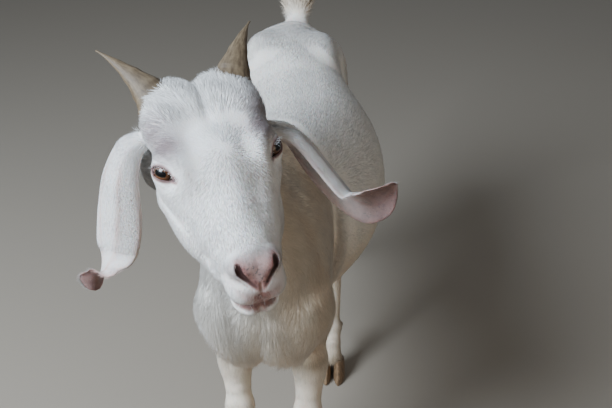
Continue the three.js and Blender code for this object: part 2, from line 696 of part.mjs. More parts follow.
function legSolid(name) {
  const leg = LEGS[name];
  const { top } = LEG_CUTS[name];
  const field = legField(leg);
  const reach = Object.values(leg).filter(Array.isArray).filter(([, , z]) => z < top + 90);
  const low = [0, 1].map((axis) => Math.min(...reach.map((p) => p[axis])) - 60);
  const high = [0, 1].map((axis) => Math.max(...reach.map((p) => p[axis])) + 60);
  const { point, up } = coronetPlane(leg);
  const joined = (p) => (p.z > top - 45 ? bodyField(p) : field(p));
  return toSolid(meshField(joined, [...low, 0], [...high, top + 50], LEG_CELL))
    .intersect(halfSpace(point, up, clear));
}

function makeLeg(name) {
  const { low, high, top, split } = LEG_CUTS[name];
  const whole = legSolid(name);
  const upper = whole.intersect(block([...low, split + clear], [...high, top - clear]));
  const lower = whole.intersect(block([-200, -400, -5], [200, 450, split - clear]));
  addPiece(`${name}_upper`, upper, COAT, COAT_ROUGHNESS);
  addPiece(`${name}_lower`, lower, COAT, COAT_ROUGHNESS);
}

// One claw of a foot: a D-shaped hoof, flat on its sole, with its inner side along the cleft.
function makeClaw(leg, inner) {
  const [x, y] = leg.foot;
  const { point, up } = coronetPlane(leg);
  const away = inner ? -leg.side : leg.side;
  const around = 10;
  const layers = [
    { height: 0, length: CLAW_LENGTH, width: CLAW_WIDTH, shift: 9 },
    { height: 0.5, length: CLAW_LENGTH * 0.86, width: CLAW_WIDTH * 0.97, shift: 4 },
    { height: 1.3, length: CLAW_LENGTH * 0.64, width: CLAW_WIDTH * 0.88, shift: -2 },
  ];
  const rings = layers.map(({ height, length, width, shift }) => {
    const ring = [];
    for (let i = 0; i < around; i += 1) {
      const angle = 2 * Math.PI * i / around;
      const forward = Math.cos(angle);
      const sideways = Math.sin(angle) > 0 ? 0.66 * Math.sin(angle) : 0.34 * Math.sin(angle);
      const narrow = 1 - 0.3 * Math.max(forward, 0) ** 2;
      const middle = 1.8 + 0.34 * CLAW_WIDTH + 1.5 * Math.max(forward, 0) * (1 - height);
      ring.push(v(x + away * (middle + width * sideways * narrow),
        y - shift - forward * length / 2, height * CLAW_HEIGHT));
    }
    return ring;
  });
  return loft(rings).intersect(halfSpace(point, up.clone().negate(), clear));
}

// One of the two small claws behind the fetlock.
function makeDewclaw(leg, inner, grownLeg) {
  const [x, y, z] = leg.fetlock;
  const away = inner ? -leg.side : leg.side;
  const horn = new THREE.CylinderGeometry(6.2, 3.6, 17, 6);
  horn.rotateX(0.62);
  horn.rotateZ(0.25 * away);
  return toSolid(horn.translate(x + away * 10, y + 22, z - 13)).subtract(grownLeg);
}

for (const [name, leg] of Object.entries(LEGS)) {
  makeLeg(name);
  const [x, y, z] = leg.fetlock;
  const grownLeg = toSolid(meshField(legField(leg), [x - 36, y - 60, z - 60], [x + 36, y + 46, z + 50],
    FETLOCK_CELL, CUT_GAP * 1.5));
  for (const inner of [false, true]) {
    const where = inner ? 'inner' : 'outer';
    addPiece(`claw_${name}_${where}`, makeClaw(leg, inner), CLAW, HORN_ROUGHNESS);
    addPiece(`dewclaw_${name}_${where}`, makeDewclaw(leg, inner, grownLeg), CLAW, HORN_ROUGHNESS);
  }
}

// ---------------------------------------------------------------- trunk and tail

function makeTrunk() {
  const { point: base, toNeck } = NECK_BASE_CUT;
  const { point: tailPoint, toTail } = TAIL_CUT;
  let solid = toSolid(meshField(bodyField, [-190, -350, 215], [200, 450, 660], TRUNK_CELL));
  solid = solid.intersect(halfSpace(base, toNeck.clone().negate(), clear));
  solid = solid.intersect(halfSpace(tailPoint, toTail.clone().negate(), clear));
  for (const { low, high, top } of Object.values(LEG_CUTS)) {
    solid = solid.subtract(block([...low, 0], [...high, top + clear]));
  }
  return solid;
}

function makeTail() {
  const { point, toTail } = TAIL_CUT;
  return toSolid(meshField(bodyField, [-70, 330, 540], [70, 450, 750], TAIL_CELL))
    .intersect(halfSpace(point, toTail, clear));
}

addPiece('trunk', makeTrunk(), COAT, COAT_ROUGHNESS);
addPiece('tail', makeTail(), COAT, COAT_ROUGHNESS);

// ---------------------------------------------------------------- origin

// The origin is on the floor, under the middle of the goat's box.
const extent = new THREE.Box3().setFromObject(goat);
const middle = extent.getCenter(v(0, 0, 0));
goat.position.set(-middle.x, -middle.y, -extent.min.z);

export default goat;
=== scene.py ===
# %% [markdown]
# # A young goat, life size
# The imported solids give the goat's outline out to the tips of its coat. This lesson puts a living surface
# inside them: one skin for the head, neck, trunk, ears, legs and tail, then eyes, horns and hooves, and
# over it all a coat made of small solid tufts, several hundred thousand of them. It starts by loading the
# solids.

import math

import bmesh
import bpy
import numpy as np
from mathutils import Matrix, Vector
from mathutils.kdtree import KDTree


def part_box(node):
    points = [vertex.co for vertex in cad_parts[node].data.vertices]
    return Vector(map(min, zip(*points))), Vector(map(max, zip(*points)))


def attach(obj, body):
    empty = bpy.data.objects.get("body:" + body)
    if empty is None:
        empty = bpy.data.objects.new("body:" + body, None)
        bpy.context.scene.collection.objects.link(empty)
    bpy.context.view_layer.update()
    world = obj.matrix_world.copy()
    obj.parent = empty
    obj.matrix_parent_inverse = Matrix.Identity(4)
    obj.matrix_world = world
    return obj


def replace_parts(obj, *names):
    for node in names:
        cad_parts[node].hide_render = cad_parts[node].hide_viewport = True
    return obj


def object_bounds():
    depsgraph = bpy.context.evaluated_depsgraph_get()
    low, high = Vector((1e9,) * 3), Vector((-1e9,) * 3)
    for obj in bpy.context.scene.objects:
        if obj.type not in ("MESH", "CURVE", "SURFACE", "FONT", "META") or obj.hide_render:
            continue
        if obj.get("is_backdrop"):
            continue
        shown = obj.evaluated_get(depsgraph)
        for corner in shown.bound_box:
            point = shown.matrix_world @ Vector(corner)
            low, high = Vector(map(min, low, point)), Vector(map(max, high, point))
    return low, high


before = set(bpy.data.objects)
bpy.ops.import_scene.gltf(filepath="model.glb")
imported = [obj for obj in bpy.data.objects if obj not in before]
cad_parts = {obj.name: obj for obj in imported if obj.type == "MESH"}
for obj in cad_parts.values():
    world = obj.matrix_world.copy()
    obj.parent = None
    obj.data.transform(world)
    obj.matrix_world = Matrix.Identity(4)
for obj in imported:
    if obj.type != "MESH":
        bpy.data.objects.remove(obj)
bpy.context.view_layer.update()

# %% [markdown]
# The goat's shape is easiest to describe in millimetres along its own axes: x to its left, y to its tail,
# z up. The head has axes of its own, because it is turned to the left and tipped down: x to its left, n
# towards the nose, u out of the forehead. The place of the left eye, which is a solid of its own, ties
# these axes to the frame.

# %% Axes of the goat and of its head
LEGS = ("foreleg_left", "foreleg_right", "hindleg_left", "hindleg_right")
HEAD_ORIGIN = np.array([-32.0, -388.0, 712.0])
HEAD_TURN = np.array(
    Matrix.Rotation(math.radians(25.8), 3, "Z")
    @ Matrix.Rotation(math.radians(23.6), 3, "X")
    @ Matrix.Rotation(math.radians(-3.8), 3, "Y")
)
EYE = np.array([51.0, -3.0, -21.0])
EYE_RADIUS = 12.2


def from_head(x, n, u):
    return HEAD_ORIGIN + HEAD_TURN @ np.array([x, -n, u])


def to_head(points):
    return (points - HEAD_ORIGIN) @ HEAD_TURN * [1, -1, 1]


def middle_of(node):
    low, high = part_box(node)
    return (np.array(low) + np.array(high)) / 2


SHIFT = middle_of("eye_left") * 1000 - from_head(*EYE)


def to_scene(points):
    return (np.asarray(points) + SHIFT) / 1000


print("goat axes start at", np.round(SHIFT, 1), "mm")

# %% [markdown]
# The camera stands a little above a person's waist, in front of the goat and to its left, and looks down
# at its face. A 50 mm lens keeps the face's proportions natural.

# %% Camera
camera = bpy.data.objects.new("camera", bpy.data.cameras.new("camera"))
bpy.context.scene.collection.objects.link(camera)
camera.data.lens = 50
camera.data.sensor_width = 36
camera.data.clip_start = 0.05
camera.location = to_scene([83.5, -1094, 1078])
camera.rotation_euler = (math.radians(59), 0, math.radians(2.8))
bpy.context.scene.camera = camera
print("camera at", [round(c, 3) for c in camera.location])

# %% [markdown]
# The body is one smooth field: a function that says, for any point, how far it is from the surface,
# negative inside. Rounded limbs and egg shapes are blended into each other, so shoulder runs into leg
# and neck into chest without a seam. A field suits an animal better than a box model does, because every
# muscle can be a named size, and the skin follows by itself. All of it works on arrays of points at once.

# %% Blending and the two basic shapes
FAR = 150.0


def length(v):
    return np.sqrt(np.einsum("ij,ij->i", v, v))


def unit(v):
    return v / np.maximum(length(v), 1e-9)[:, None]


def smooth(value, start, end):
    t = np.clip((value - start) / (end - start), 0, 1)
    return t * t * (3 - 2 * t)


def blend(a, b, k):
    h = np.maximum(k - np.abs(a - b), 0) / k
    return np.minimum(a, b) - h * h * k * 0.25


def carve(a, tool, k):
    return -blend(-a, tool, k)


def ellipsoid(p, c, r):
    q = (p - c) / r
    k0 = length(q)
    return k0 * (k0 - 1) / np.maximum(length(q / r), 1e-9)


def limb(p, a, b, ra, rb, flat=1.0):
    squeeze = np.array([flat, 1, 1])
    q, along = (p - a) / squeeze, (np.array(b, float) - a) / squeeze
    h = np.clip(q @ along / (along @ along), 0, 1)
    return (length(q - h[:, None] * along) - (ra + h * (rb - ra))) * (1 + flat) / 2


def mirrored(p):
    return np.column_stack([np.abs(p[:, 0]), p[:, 1], p[:, 2]])


def only_near(p, low, high, field):
    inside = np.all((p > low) & (p < high), axis=1)
    d = np.full(len(p), FAR)
    if inside.any():
        d[inside] = field(p[inside])
    return d


def curve_through(*stations):
    at, value = np.array(stations, float).T
    left = np.r_[0, 0:len(at) - 1]
    right = np.r_[1:len(at), len(at) - 1]
    slope = (value[right] - value[left]) / (at[right] - at[left])

    def curve(t):
        t = np.clip(t, at[0], at[-1])
        i = np.clip(np.searchsorted(at, t, side="right") - 1, 0, len(at) - 2)
        width = at[i + 1] - at[i]
        s = (t - at[i]) / width
        a, b, ga, gb = value[i], value[i + 1], slope[i] * width, slope[i + 1] * width
        start = (2 * s**3 - 3 * s**2 + 1) * a + (s**3 - 2 * s**2 + s) * ga
        return start + (3 * s**2 - 2 * s**3) * b + (s**3 - s**2) * gb

    return curve


print("blend of 3 and 4 mm:", blend(np.array([3.0]), np.array([4.0]), 8)[0])

# %% [markdown]
# The head is the part that people look at first. It is built in its own axes and mirrored: braincase,
# the two bumps of the poll in front of the horns, brow, cheekbone, the strong chewing muscle, the jaw,
# and the fine muzzle with its nostril wings and split upper lip.

# %% Head
def head_field(q):
    p = mirrored(q)
    d = ellipsoid(p, [0, -48, -36], [50, 54, 42])
    d = blend(d, ellipsoid(p, [26, -67, -4], [28, 32, 17]), 24)
    d = blend(d, ellipsoid(p, [42, -47, -17], [22, 33, 27]), 16)
    d = blend(d, ellipsoid(p, [0, -6, -26], [54, 34, 27]), 22)
    d = blend(d, ellipsoid(p, [43, -4, -12], [15, 20, 13]), 12)
    d = blend(d, ellipsoid(p, [42, -2, -24], [17, 28, 22]), 22)
    d = blend(d, limb(p, [0, 0, -28], [0, 92, -46], 31, 23), 22)
    d = blend(d, limb(p, [44, -8, -38], [29, 62, -50], 15, 11), 20)
    d = blend(d, limb(p, [30, 6, -36], [18, 80, -49], 21, 15), 20)
    d = blend(d, limb(p, [37, -4, -66], [23, 86, -73], 25, 14), 18)
    d = blend(d, ellipsoid(p, [26, -10, -70], [27, 50, 36]), 20)
    d = blend(d, ellipsoid(p, [33, 34, -68], [20, 34, 20]), 16)
    d = blend(d, ellipsoid(p, [42, -56, -80], [23, 28, 32]), 20)
    d = blend(d, limb(p, [23, -40, -86], [12, 66, -82], 21, 16), 16)
    d = blend(d, limb(p, [12, 60, -80], [7, 108, -82], 17, 12), 14)
    d = blend(d, ellipsoid(p, [0, 92, -58], [30, 38, 28]), 14)
    d = blend(d, ellipsoid(p, [12, 114, -65], [19, 20, 15]), 11)
    d = blend(d, ellipsoid(p, [4, 102, -76], [21, 26, 13]), 10)
    d = blend(d, ellipsoid(p, [13.5, 107, -40], [13, 13, 11]), 9)
    return blend(d, ellipsoid(p, [7, 113, -89], [19, 22, 12]), 9)


# %% [markdown]
# Neck and trunk. The trunk's back line, belly line and width are curves along the goat. The belly leans
# to the left, where the rumen lies. Shoulder blades, breast, hip bones and pin bones are laid over it.

# %% Neck and trunk
trunk_top = curve_through(
    (-270, 535), (-215, 580), (-140, 596), (-60, 592), (40, 586),
    (130, 591), (215, 606), (280, 606), (345, 590), (400, 552)
)
trunk_bottom = curve_through(
    (-285, 365), (-220, 332), (-150, 320), (-60, 284), (35, 256),
    (125, 256), (190, 300), (250, 376), (330, 425), (400, 470)
)
trunk_half_width = curve_through(
    (-285, 62), (-220, 72), (-150, 90), (-60, 117), (40, 141),
    (110, 142), (185, 116), (250, 86), (330, 75), (400, 60)
)
trunk_lean = curve_through((-285, -12), (-150, -8), (-30, 3), (40, 10), (120, 13), (230, -5), (400, -11))
trunk_egg = curve_through((-285, 0.2), (-80, 0.2), (60, 0.11), (150, 0.03), (240, -0.08), (400, 0.1))


def trunk_field(p):
    y = np.clip(p[:, 1], -222, 314)
    top, bottom = trunk_top(y), trunk_bottom(y)
    half = (top - bottom) / 2
    rise = (p[:, 2] - (top + bottom) / 2) / half
    width = trunk_half_width(y) * (1 - trunk_egg(y) * np.clip(rise, -1, 1))
    end = (p[:, 1] - y) / np.where(p[:, 1] < y, 70, 90)
    k = length(np.column_stack([(p[:, 0] - trunk_lean(y)) / width, rise, end]))
    return (k - 1) * np.minimum(width, half) * 0.9


def girdle_field(p):
    q = np.column_stack([np.abs(p[:, 0] - trunk_lean(p[:, 1])), p[:, 1], p[:, 2]])
    d = limb(q, [40, -142, 556], [58, -232, 420], 34, 36, 0.8)
    d = blend(d, limb(q, [60, -236, 405], [54, -184, 355], 30, 28), 24)
    d = blend(d, ellipsoid(q, [26, -256, 380], [47, 32, 54]), 30)
    d = blend(d, ellipsoid(q, [50, 240, 568], [26, 44, 28]), 30)
    return blend(d, ellipsoid(q, [36, 376, 525], [24, 26, 26]), 26)


NECK_MIDDLE = [-54, -243, 618]


def neck_field(p):
    d = limb(p, from_head(0, -68, -52), NECK_MIDDLE, 39, 52, 0.94)
    d = blend(d, limb(p, NECK_MIDDLE, [-14, -196, 505], 52, 84, 0.8), 30)
    return blend(d, limb(p, [-34, -208, 640], [0, -130, 575], 30, 34, 0.7), 30)


def tail_field(p):
    d = limb(p, [-4, 366, 570], [-4, 388, 604], 20, 22, 1.3)
    d = blend(d, limb(p, [-4, 388, 604], [-2, 398, 652], 22, 23, 1.35), 14)
    return blend(d, limb(p, [-2, 398, 652], [3, 386, 712], 22, 8, 1.35), 14)


# %% [markdown]
# Each leg is a list of joint centres from the top down. A goat's elbow and stifle are up against the
# trunk, the knee and hock are half way down, and it stands on two claws. The left hind leg steps forward.

# %% Legs
JOINTS = {
    "foreleg_left": dict(elbow=(47, -182, 350), knee=(43, -216, 207), fetlock=(43, -212, 80),
                         foot=(44, -233, 39)),
    "foreleg_right": dict(elbow=(-64, -180, 350), knee=(-54, -206, 207), fetlock=(-54, -198, 80),
                          foot=(-55, -219, 39)),
    "hindleg_left": dict(hip=(50, 286, 505), stifle=(84, 158, 382), hock=(76, 226, 226),
                         fetlock=(74, 122, 86), foot=(74, 95, 40)),
    "hindleg_right": dict(hip=(-55, 294, 505), stifle=(-84, 196, 372), hock=(-70, 336, 238),
                          fetlock=(-73, 318, 84), foot=(-75, 294, 40)),
}
# The leg ends and the claws begin on the coronet, a line that slopes down towards the heel.
CORONET_HEIGHT, CORONET_SLOPE = 32, 0.26


def between(a, b, t):
    return np.array(a) + (np.array(b) - a) * t


def foot_field(p, leg, shank):
    fetlock, foot = np.array(leg["fetlock"]), np.array(leg["foot"])
    pastern = between(fetlock, foot, 0.5)
    d = limb(p, fetlock, pastern, 17, 15)
    d = blend(d, limb(p, pastern, foot, 15, 19), 8)
    d = blend(d, ellipsoid(p, fetlock + [0, 6, -4], [17, 16, 17]), 8)
    d = blend(d, limb(p, fetlock + [0, 3, 0], shank, 14, 14), 8)
    coronet = p[:, 2] - CORONET_HEIGHT + CORONET_SLOPE * (p[:, 1] - foot[1])
    return -blend(-d, coronet / math.hypot(1, CORONET_SLOPE), 2)


def foreleg_field(p, leg):
    elbow, knee = np.array(leg["elbow"]), np.array(leg["knee"])
    half, shank = between(elbow, knee, 0.45), between(knee, leg["fetlock"], 0.3)
    d = limb(p, elbow, half, 35, 28, 0.84)
    d = blend(d, limb(p, half, knee, 27, 20, 0.95), 20)
    d = blend(d, ellipsoid(p, elbow + [0, 22, 2], [17, 18, 20]), 14)
    d = blend(d, ellipsoid(p, knee + [0, -3, 0], [23, 20, 26]), 12)
    d = blend(d, limb(p, knee, shank, 18, 14), 10)
    return blend(d, foot_field(p, leg, shank), 8)


def hindleg_field(p, leg):
    hip, stifle, hock = (np.array(leg[k]) for k in ("hip", "stifle", "hock"))
    side = 1 if hip[0] > 0 else -1
    heel, gaskin = hock + [0, 19, 17], between(stifle, hock, 0.4)
    shank = between(hock, leg["fetlock"], 0.3)
    d = limb(p, hip, stifle, 76, 44, 0.56)
    d = blend(d, limb(p, [side * 40 - 3, 352, 472], gaskin + [0, 16, 0], 48, 28, 0.62), 24)
    d = blend(d, limb(p, stifle, hock, 36, 17, 0.72), 26)
    d = blend(d, limb(p, gaskin + [0, 20, 0], heel, 22, 8), 12)
    d = blend(d, ellipsoid(p, heel, [11, 11, 15]), 8)
    d = blend(d, ellipsoid(p, hock, [18, 20, 27]), 12)
    d = blend(d, limb(p, hock, shank, 19, 14.5, 0.85), 12)
    return blend(d, foot_field(p, leg, shank), 8)


def leg_reach(leg, margin=110):
    joints = np.array(list(leg.values()))
    return joints.min(0) - margin, joints.max(0) + margin


def body_field(p):
    d = blend(trunk_field(p), only_near(p, [-180, -340, 300], [180, 450, 660], girdle_field), 34)
    d = blend(d, only_near(p, [-190, -420, 380], [120, -60, 800], neck_field), 46)
    for name in ("hindleg_left", "hindleg_right"):
        leg = JOINTS[name]
        d = blend(d, only_near(p, *leg_reach(leg), lambda q: hindleg_field(q, leg)), 26)
    for name in ("foreleg_left", "foreleg_right"):
        leg = JOINTS[name]
        d = blend(d, only_near(p, *leg_reach(leg), lambda q: foreleg_field(q, leg)), 24)
    d = blend(d, only_near(p, [-80, 320, 520], [80, 460, 760], tail_field), 16)
    return blend(d, only_near(p, [-160, -560, 540], [110, -230, 820], lambda q: head_field(to_head(q))), 24)


belly = np.array([[13.0, 120.0, 256.0]])
print("belly line at", round(float(body_field(belly)[0]), 2), "mm from the surface")

# %% [markdown]
# The skin lies inside the solids by the depth of the coat. A goat's hair is a few millimetres deep on
# the face and legs, deeper on the neck and flanks, and longest on the breast and the tail.

# %% Depth of the coat
NECK_TOP, TOWARDS_HEAD = np.array([-71.6, -284.6, 685.8]), unit(np.array([[0.1, -0.96, 0.26]]))[0]


def bump(p, centre, reach):
    q = (p - np.array(centre)) / reach
    return np.exp(-np.einsum("ij,ij->i", q, q))


def coat_depth(p):
    face = smooth((p - NECK_TOP) @ TOWARDS_HEAD, -25, 25)
    lower = smooth(p[:, 2], 330, 250)
    depth = 6.5 + 3.5 * bump(p, [0, -262, 385], [60, 60, 90]) + 2.5 * bump(p, [0, 388, 650], [60, 60, 70])
    depth = depth + (3.2 - depth) * lower * smooth(np.abs(p[:, 1] - 100), 0, 1)
    return depth + (2.8 - depth) * face


# %% [markdown]
# Bones, tendons and muscles show through a short coat as soft hollows and ridges. Each is one line here:
# its centre, its reach along the three axes, and how deep it is. The same list is used on both sides.

# %% Hollows and ridges
HEAD_RELIEF = (
    # the groove between the two poll bumps, which runs on down the forehead
    ((0, -60, 12), (5, 34, 14), 1.4),
    # the hollow of the temple, the hollow under the cheekbone, the edge of the jaw muscle
    ((50, -34, -22), (12, 14, 12), 3.0),
    ((34, 44, -64), (14, 26, 12), 0.8),
    ((46, -44, -66), (14, 14, 20), 1.2),
    # behind the nostril wing, and between chin and lip
    ((24, 88, -36), (9, 12, 8), 1.0),
    # ridges: the rim of the eye socket above and behind, the nasal bone, the cheekbone, the chin
    ((52, 4, -4), (14, 12, 7), -1.2),
    ((0, 44, -14), (14, 40, 10), -0.8),
    ((50, 14, -40), (14, 24, 9), -1.2),
    ((26, 60, -48), (10, 24, 8), -1.0),
)
BODY_RELIEF = (
    # the hollow of the flank, behind the shoulder, above the elbow, in front of the haunch
    ((98, 190, 500), (30, 34, 44), 5.0),
    ((96, -92, 450), (30, 34, 90), 3.0),
    ((78, 150, 350), (30, 26, 50), 3.0),
    # along the spine, and the groove between the haunches
    ((34, 60, 590), (18, 130, 20), 1.5),
    ((0, 396, 480), (13, 30, 90), 5.0),
    # ridges: hip bones, spine of the shoulder blade, last rib
    ((58, 236, 596), (14, 30, 16), -1.0),
    ((64, -170, 500), (16, 14, 70), -2.5),
    ((126, 112, 440), (26, 12, 90), -1.5),
)


def relief(p, lines):
    sides = mirrored(p)
    return sum(depth * bump(sides, centre, reach) for centre, reach, depth in lines)


print("relief lines:", len(HEAD_RELIEF) + len(BODY_RELIEF))

# %% [markdown]
# Face details. The lids are a thin shell over each eyeball with an almond cut in it, which tapers into
# the tear duct. A nostril is a comma that narrows towards the cleft of the upper lip. The mouth is one
# long groove from the front of the lips to its corner.

# %% Lids, nostrils and mouth
EYE_OUT = unit(np.array([[0.64, 0.50, 0.58]]))[0]
brow_way = np.array([-0.34, -0.46, 0.82])
EYE_UP = unit((brow_way - EYE_OUT * (brow_way @ EYE_OUT))[None])[0]
EYE_FORE = np.cross(EYE_UP, EYE_OUT)
EYE_FORE *= np.sign(EYE_FORE[1])
LID = 1.7
LID_HALF = 12.6
UPPER_LID, LOWER_LID = 5.8, 5.0
# the dish the lids bulge out of: its height over the eye's centre, how fast it rises, the tear corner's floor
SOCKET, SOCKET_RISE, TEAR_FLOOR = 8.0, 0.012, 6.4
NOSTRIL = ((20, 108.5, -29), (17.2, 114.5, -38), (12, 120.5, -44), (5, 126.5, -49))
NOSTRIL_SIZE = (2.5, 3.0, 1.7, 0.9)
MOUTH = ((0, 132, -78), (10, 129, -78), (19, 119, -78), (24, 104, -77), (27, 88, -78), (28, 74, -82))
MOUTH_SIZE = (1.5, 1.4, 1.3, 1.2, 1.1, 0.7)
PHILTRUM = ((0, 124.5, -49), (0, 131, -58), (0, 134, -66), (0, 132, -75))
PHILTRUM_SIZE = (0.9, 0.8, 1.0, 1.2)


def eye_axes(p):
    q = p - EYE
    return q @ EYE_OUT, q @ EYE_UP, q @ EYE_FORE


def lid_height(s):
    """How far the upper and the lower lid's rim stand from the eye's level line, s mm towards the nose."""
    almond = np.clip(1 - (s / LID_HALF) ** 2, 0, 1) ** 0.7
    duct = 1.0 * smooth(s, 9, 11) * smooth(s, 20, 14)
    middle = -0.05 * np.clip(s, 0, 12) ** 1.4
    return middle + np.maximum(UPPER_LID * almond, duct), middle - np.maximum(LOWER_LID * almond, duct)


def lid_gap(p):
    """Negative where the lids are open, seen along the eye's outward axis, in mm."""
    out, up, fore = eye_axes(p)
    upper, lower = lid_height(fore)
    past_the_ends = np.maximum(np.maximum(fore - 19, -LID_HALF - fore), 0)
    return np.where(out > -2, np.maximum(up - upper, lower - up) + 0.6 * past_the_ends, 9.0)


def groove(p, path, sizes):
    return np.min([limb(p, a, b, ra, rb) for a, b, ra, rb in zip(path, path[1:], sizes, sizes[1:])], axis=0)


def face_detail(q, d):
    p = mirrored(q)
    out, up, fore = eye_axes(p)
    across = up**2 + fore**2
    d = carve(d, SOCKET + SOCKET_RISE * across - out, 8)
    d = blend(d, length(p - EYE) - EYE_RADIUS - LID, 6)
    # the crease of the upper lid, and the soft bag under the lower one
    d = d + 0.9 * np.exp(-(((up - 9.5) / 1.3) ** 2) - (fore / 9) ** 2) * (out > 0)
    d = d + 0.6 * np.exp(-(((up + 9.0) / 1.3) ** 2) - (fore / 8) ** 2) * (out > 0)
    under_eyeball = np.sqrt(np.maximum(EYE_RADIUS**2 - across, 0)) - 3
    floor = np.maximum(under_eyeball, TEAR_FLOOR + 0.55 * np.maximum(fore - 10.4, 0))
    d = carve(d, np.maximum(lid_gap(p), floor - out), 0.8)
    d = carve(d, groove(p, NOSTRIL, NOSTRIL_SIZE), 2.0)
    d = carve(d, groove(p, MOUTH, MOUTH_SIZE), 1.8)
    return carve(d, groove(p, PHILTRUM, PHILTRUM_SIZE), 2.0)


def skin_field(p):
    d = body_field(p) + coat_depth(p)
    d = d + relief(p, BODY_RELIEF)
    q = to_head(p)
    near = np.all((np.abs(q - [0, 20, -40]) < [85, 150, 85]), axis=1)
    if near.any():
        d[near] = face_detail(q[near], d[near] + relief(q[near], HEAD_RELIEF))
    return d


print("lid opening:", round(float(-2 * lid_gap((EYE + EYE_OUT * EYE_RADIUS)[None])[0]), 1), "mm high")

# %% [markdown]
# A grid turns the field into a mesh. Its spacing is fine where the head is and coarse elsewhere. One
# vertex goes into each cell that the surface crosses, neighbours are joined by quads, and every vertex
# is then slid along the field's slope onto the surface. That gives even quads and no poles.

# %% From field to mesh
FINE, COARSE = 2.4, 7.6
HEAD_LOW, HEAD_HIGH = (-112, -512, 588), (52, -286, 780)
GRID_LOW, GRID_HIGH = (-196, -516, 24), (206, 452, 784)


def grid_line(low, high, fine_low, fine_high):
    line = [low]
    while line[-1] < high:
        at = line[-1]
        gap = max(fine_low - at, at - fine_high, 0)
        line.append(at + min(COARSE, FINE + 0.3 * gap))
    return np.array(line)


grid = [grid_line(*limits) for limits in zip(GRID_LOW, GRID_HIGH, HEAD_LOW, HEAD_HIGH)]


def grid_points(index):
    return np.column_stack([line[i] for line, i in zip(grid, index)])


def field_on_grid(field):
    """The field on the whole grid, exact only near the surface, which is found on every fourth point."""
    shape = [len(line) for line in grid]
    rough = [np.unique(np.r_[0:n:4, n - 1]) for n in shape]
    index = np.meshgrid(*rough, indexing="ij")
    values = field(grid_points([i.ravel() for i in index])).reshape(index[0].shape)
    spread = [np.clip(np.searchsorted(r, np.arange(n), side="right") - 1, 0, len(r) - 2)
              for r, n in zip(rough, shape)]
    corner = [values[a:, b:, c:][:len(rough[0]) - 1, :len(rough[1]) - 1, :len(rough[2]) - 1]
              for a in (0, 1) for b in (0, 1) for c in (0, 1)]
    smallest, nearest = np.min(corner, axis=0), np.min(np.abs(corner), axis=0)
    full = np.ix_(*spread)
    result = smallest[full]
    wanted = np.nonzero(nearest[full] < 30)
    result[wanted] = field(grid_points(wanted))
    return result


def nets(values):
    """Vertices and quads of the surface where the values change sign."""
    inside = values < 0
    cells = np.stack([inside[a:a - 1 or None, b:b - 1 or None, c:c - 1 or None]
                      for a in (0, 1) for b in (0, 1) for c in (0, 1)])
    crossed = np.nonzero(cells.any(0) & ~cells.all(0))
    total, count = np.zeros((len(crossed[0]), 3)), np.zeros(len(crossed[0]))
    for axis in range(3):
        for a in (0, 1):
            for b in (0, 1):
                start = [c.copy() for c in crossed]
                start[(axis + 1) % 3] += a
                start[(axis + 2) % 3] += b
                end = [c.copy() for c in start]
                end[axis] += 1
                va, vb = values[tuple(start)], values[tuple(end)]
                cut = (va < 0) != (vb < 0)
                t = np.where(cut, va / np.where(cut, va - vb, 1), 0)[:, None]
                pa, pb = grid_points(start), grid_points(end)
                total += np.where(cut[:, None], pa + (pb - pa) * t, 0)
                count += cut
    number = np.full(cells.shape[1:], -1)
    number[crossed] = np.arange(len(crossed[0]))
    quads = []
    for axis in range(3):
        here = [slice(1, -1)] * 3
        here[axis] = slice(0, -1)
        there = list(here)
        there[axis] = slice(1, None)
        ends, starts = inside[tuple(there)], inside[tuple(here)]
        at = np.nonzero(starts != ends)
        at = [i + (0 if k == axis else 1) for k, i in enumerate(at)]
        e, f = (axis + 1) % 3, (axis + 2) % 3
        ring = []
        for s, t in ((1, 1), (0, 1), (0, 0), (1, 0)):
            cell = list(at)
            cell[e], cell[f] = cell[e] - s, cell[f] - t
            ring.append(number[tuple(cell)])
        ring = np.column_stack(ring)
        flip = ~inside[tuple(at)]
        ring[flip] = ring[flip][:, ::-1]
        quads.append(ring)
    return total / count[:, None], np.concatenate(quads)


def slope(field, p, step=0.4):
    g = np.zeros_like(p)
    for axis in range(3):
        e = np.zeros(3)
        e[axis] = step
        g[:, axis] = field(p + e) - field(p - e)
    return g / (2 * step)


def settle(field, p, rounds=3, most=1.5):
    for _ in range(rounds):
        g = slope(field, p)
        step = -field(p)[:, None] * g / np.maximum(np.einsum("ij,ij->i", g, g), 0.3)[:, None]
        size = np.maximum(length(step), 1e-9)[:, None]
        p = p + step * np.minimum(1, most / size)
    return p


points, quads = nets(field_on_grid(skin_field))
points = settle(skin_field, points)
print("grid", [len(line) for line in grid], "skin:", len(points), "vertices,", len(quads), "quads")

# %% [markdown]
# The eyes, nose and mouth need a finer mesh than the cheeks do, and a leg, which is thin, needs a finer
# one than the flank. So the quads there are each cut in four, and the new vertices slide onto the surface
# too. BMesh fills the rim of such a patch with triangles, so no crack opens.

# %% Finer mesh where it is needed
def mesh_object(name, vertices, faces):
    mesh = bpy.data.meshes.new(name)
    mesh.from_pydata([tuple(v) for v in vertices], [], [tuple(f) for f in faces])
    mesh.validate()
    mesh.shade_smooth()
    obj = bpy.data.objects.new(name, mesh)
    bpy.context.scene.collection.objects.link(obj)
    return obj


def coordinates(mesh):
    flat = np.empty(len(mesh.vertices) * 3)
    mesh.vertices.foreach_get("co", flat)
    return flat.reshape(-1, 3)


def set_coordinates(mesh, points):
    mesh.vertices.foreach_set("co", np.ascontiguousarray(points, dtype=float).ravel())
    mesh.update()


def triangles_in(mesh):
    return sum(len(face.vertices) - 2 for face in mesh.polygons)


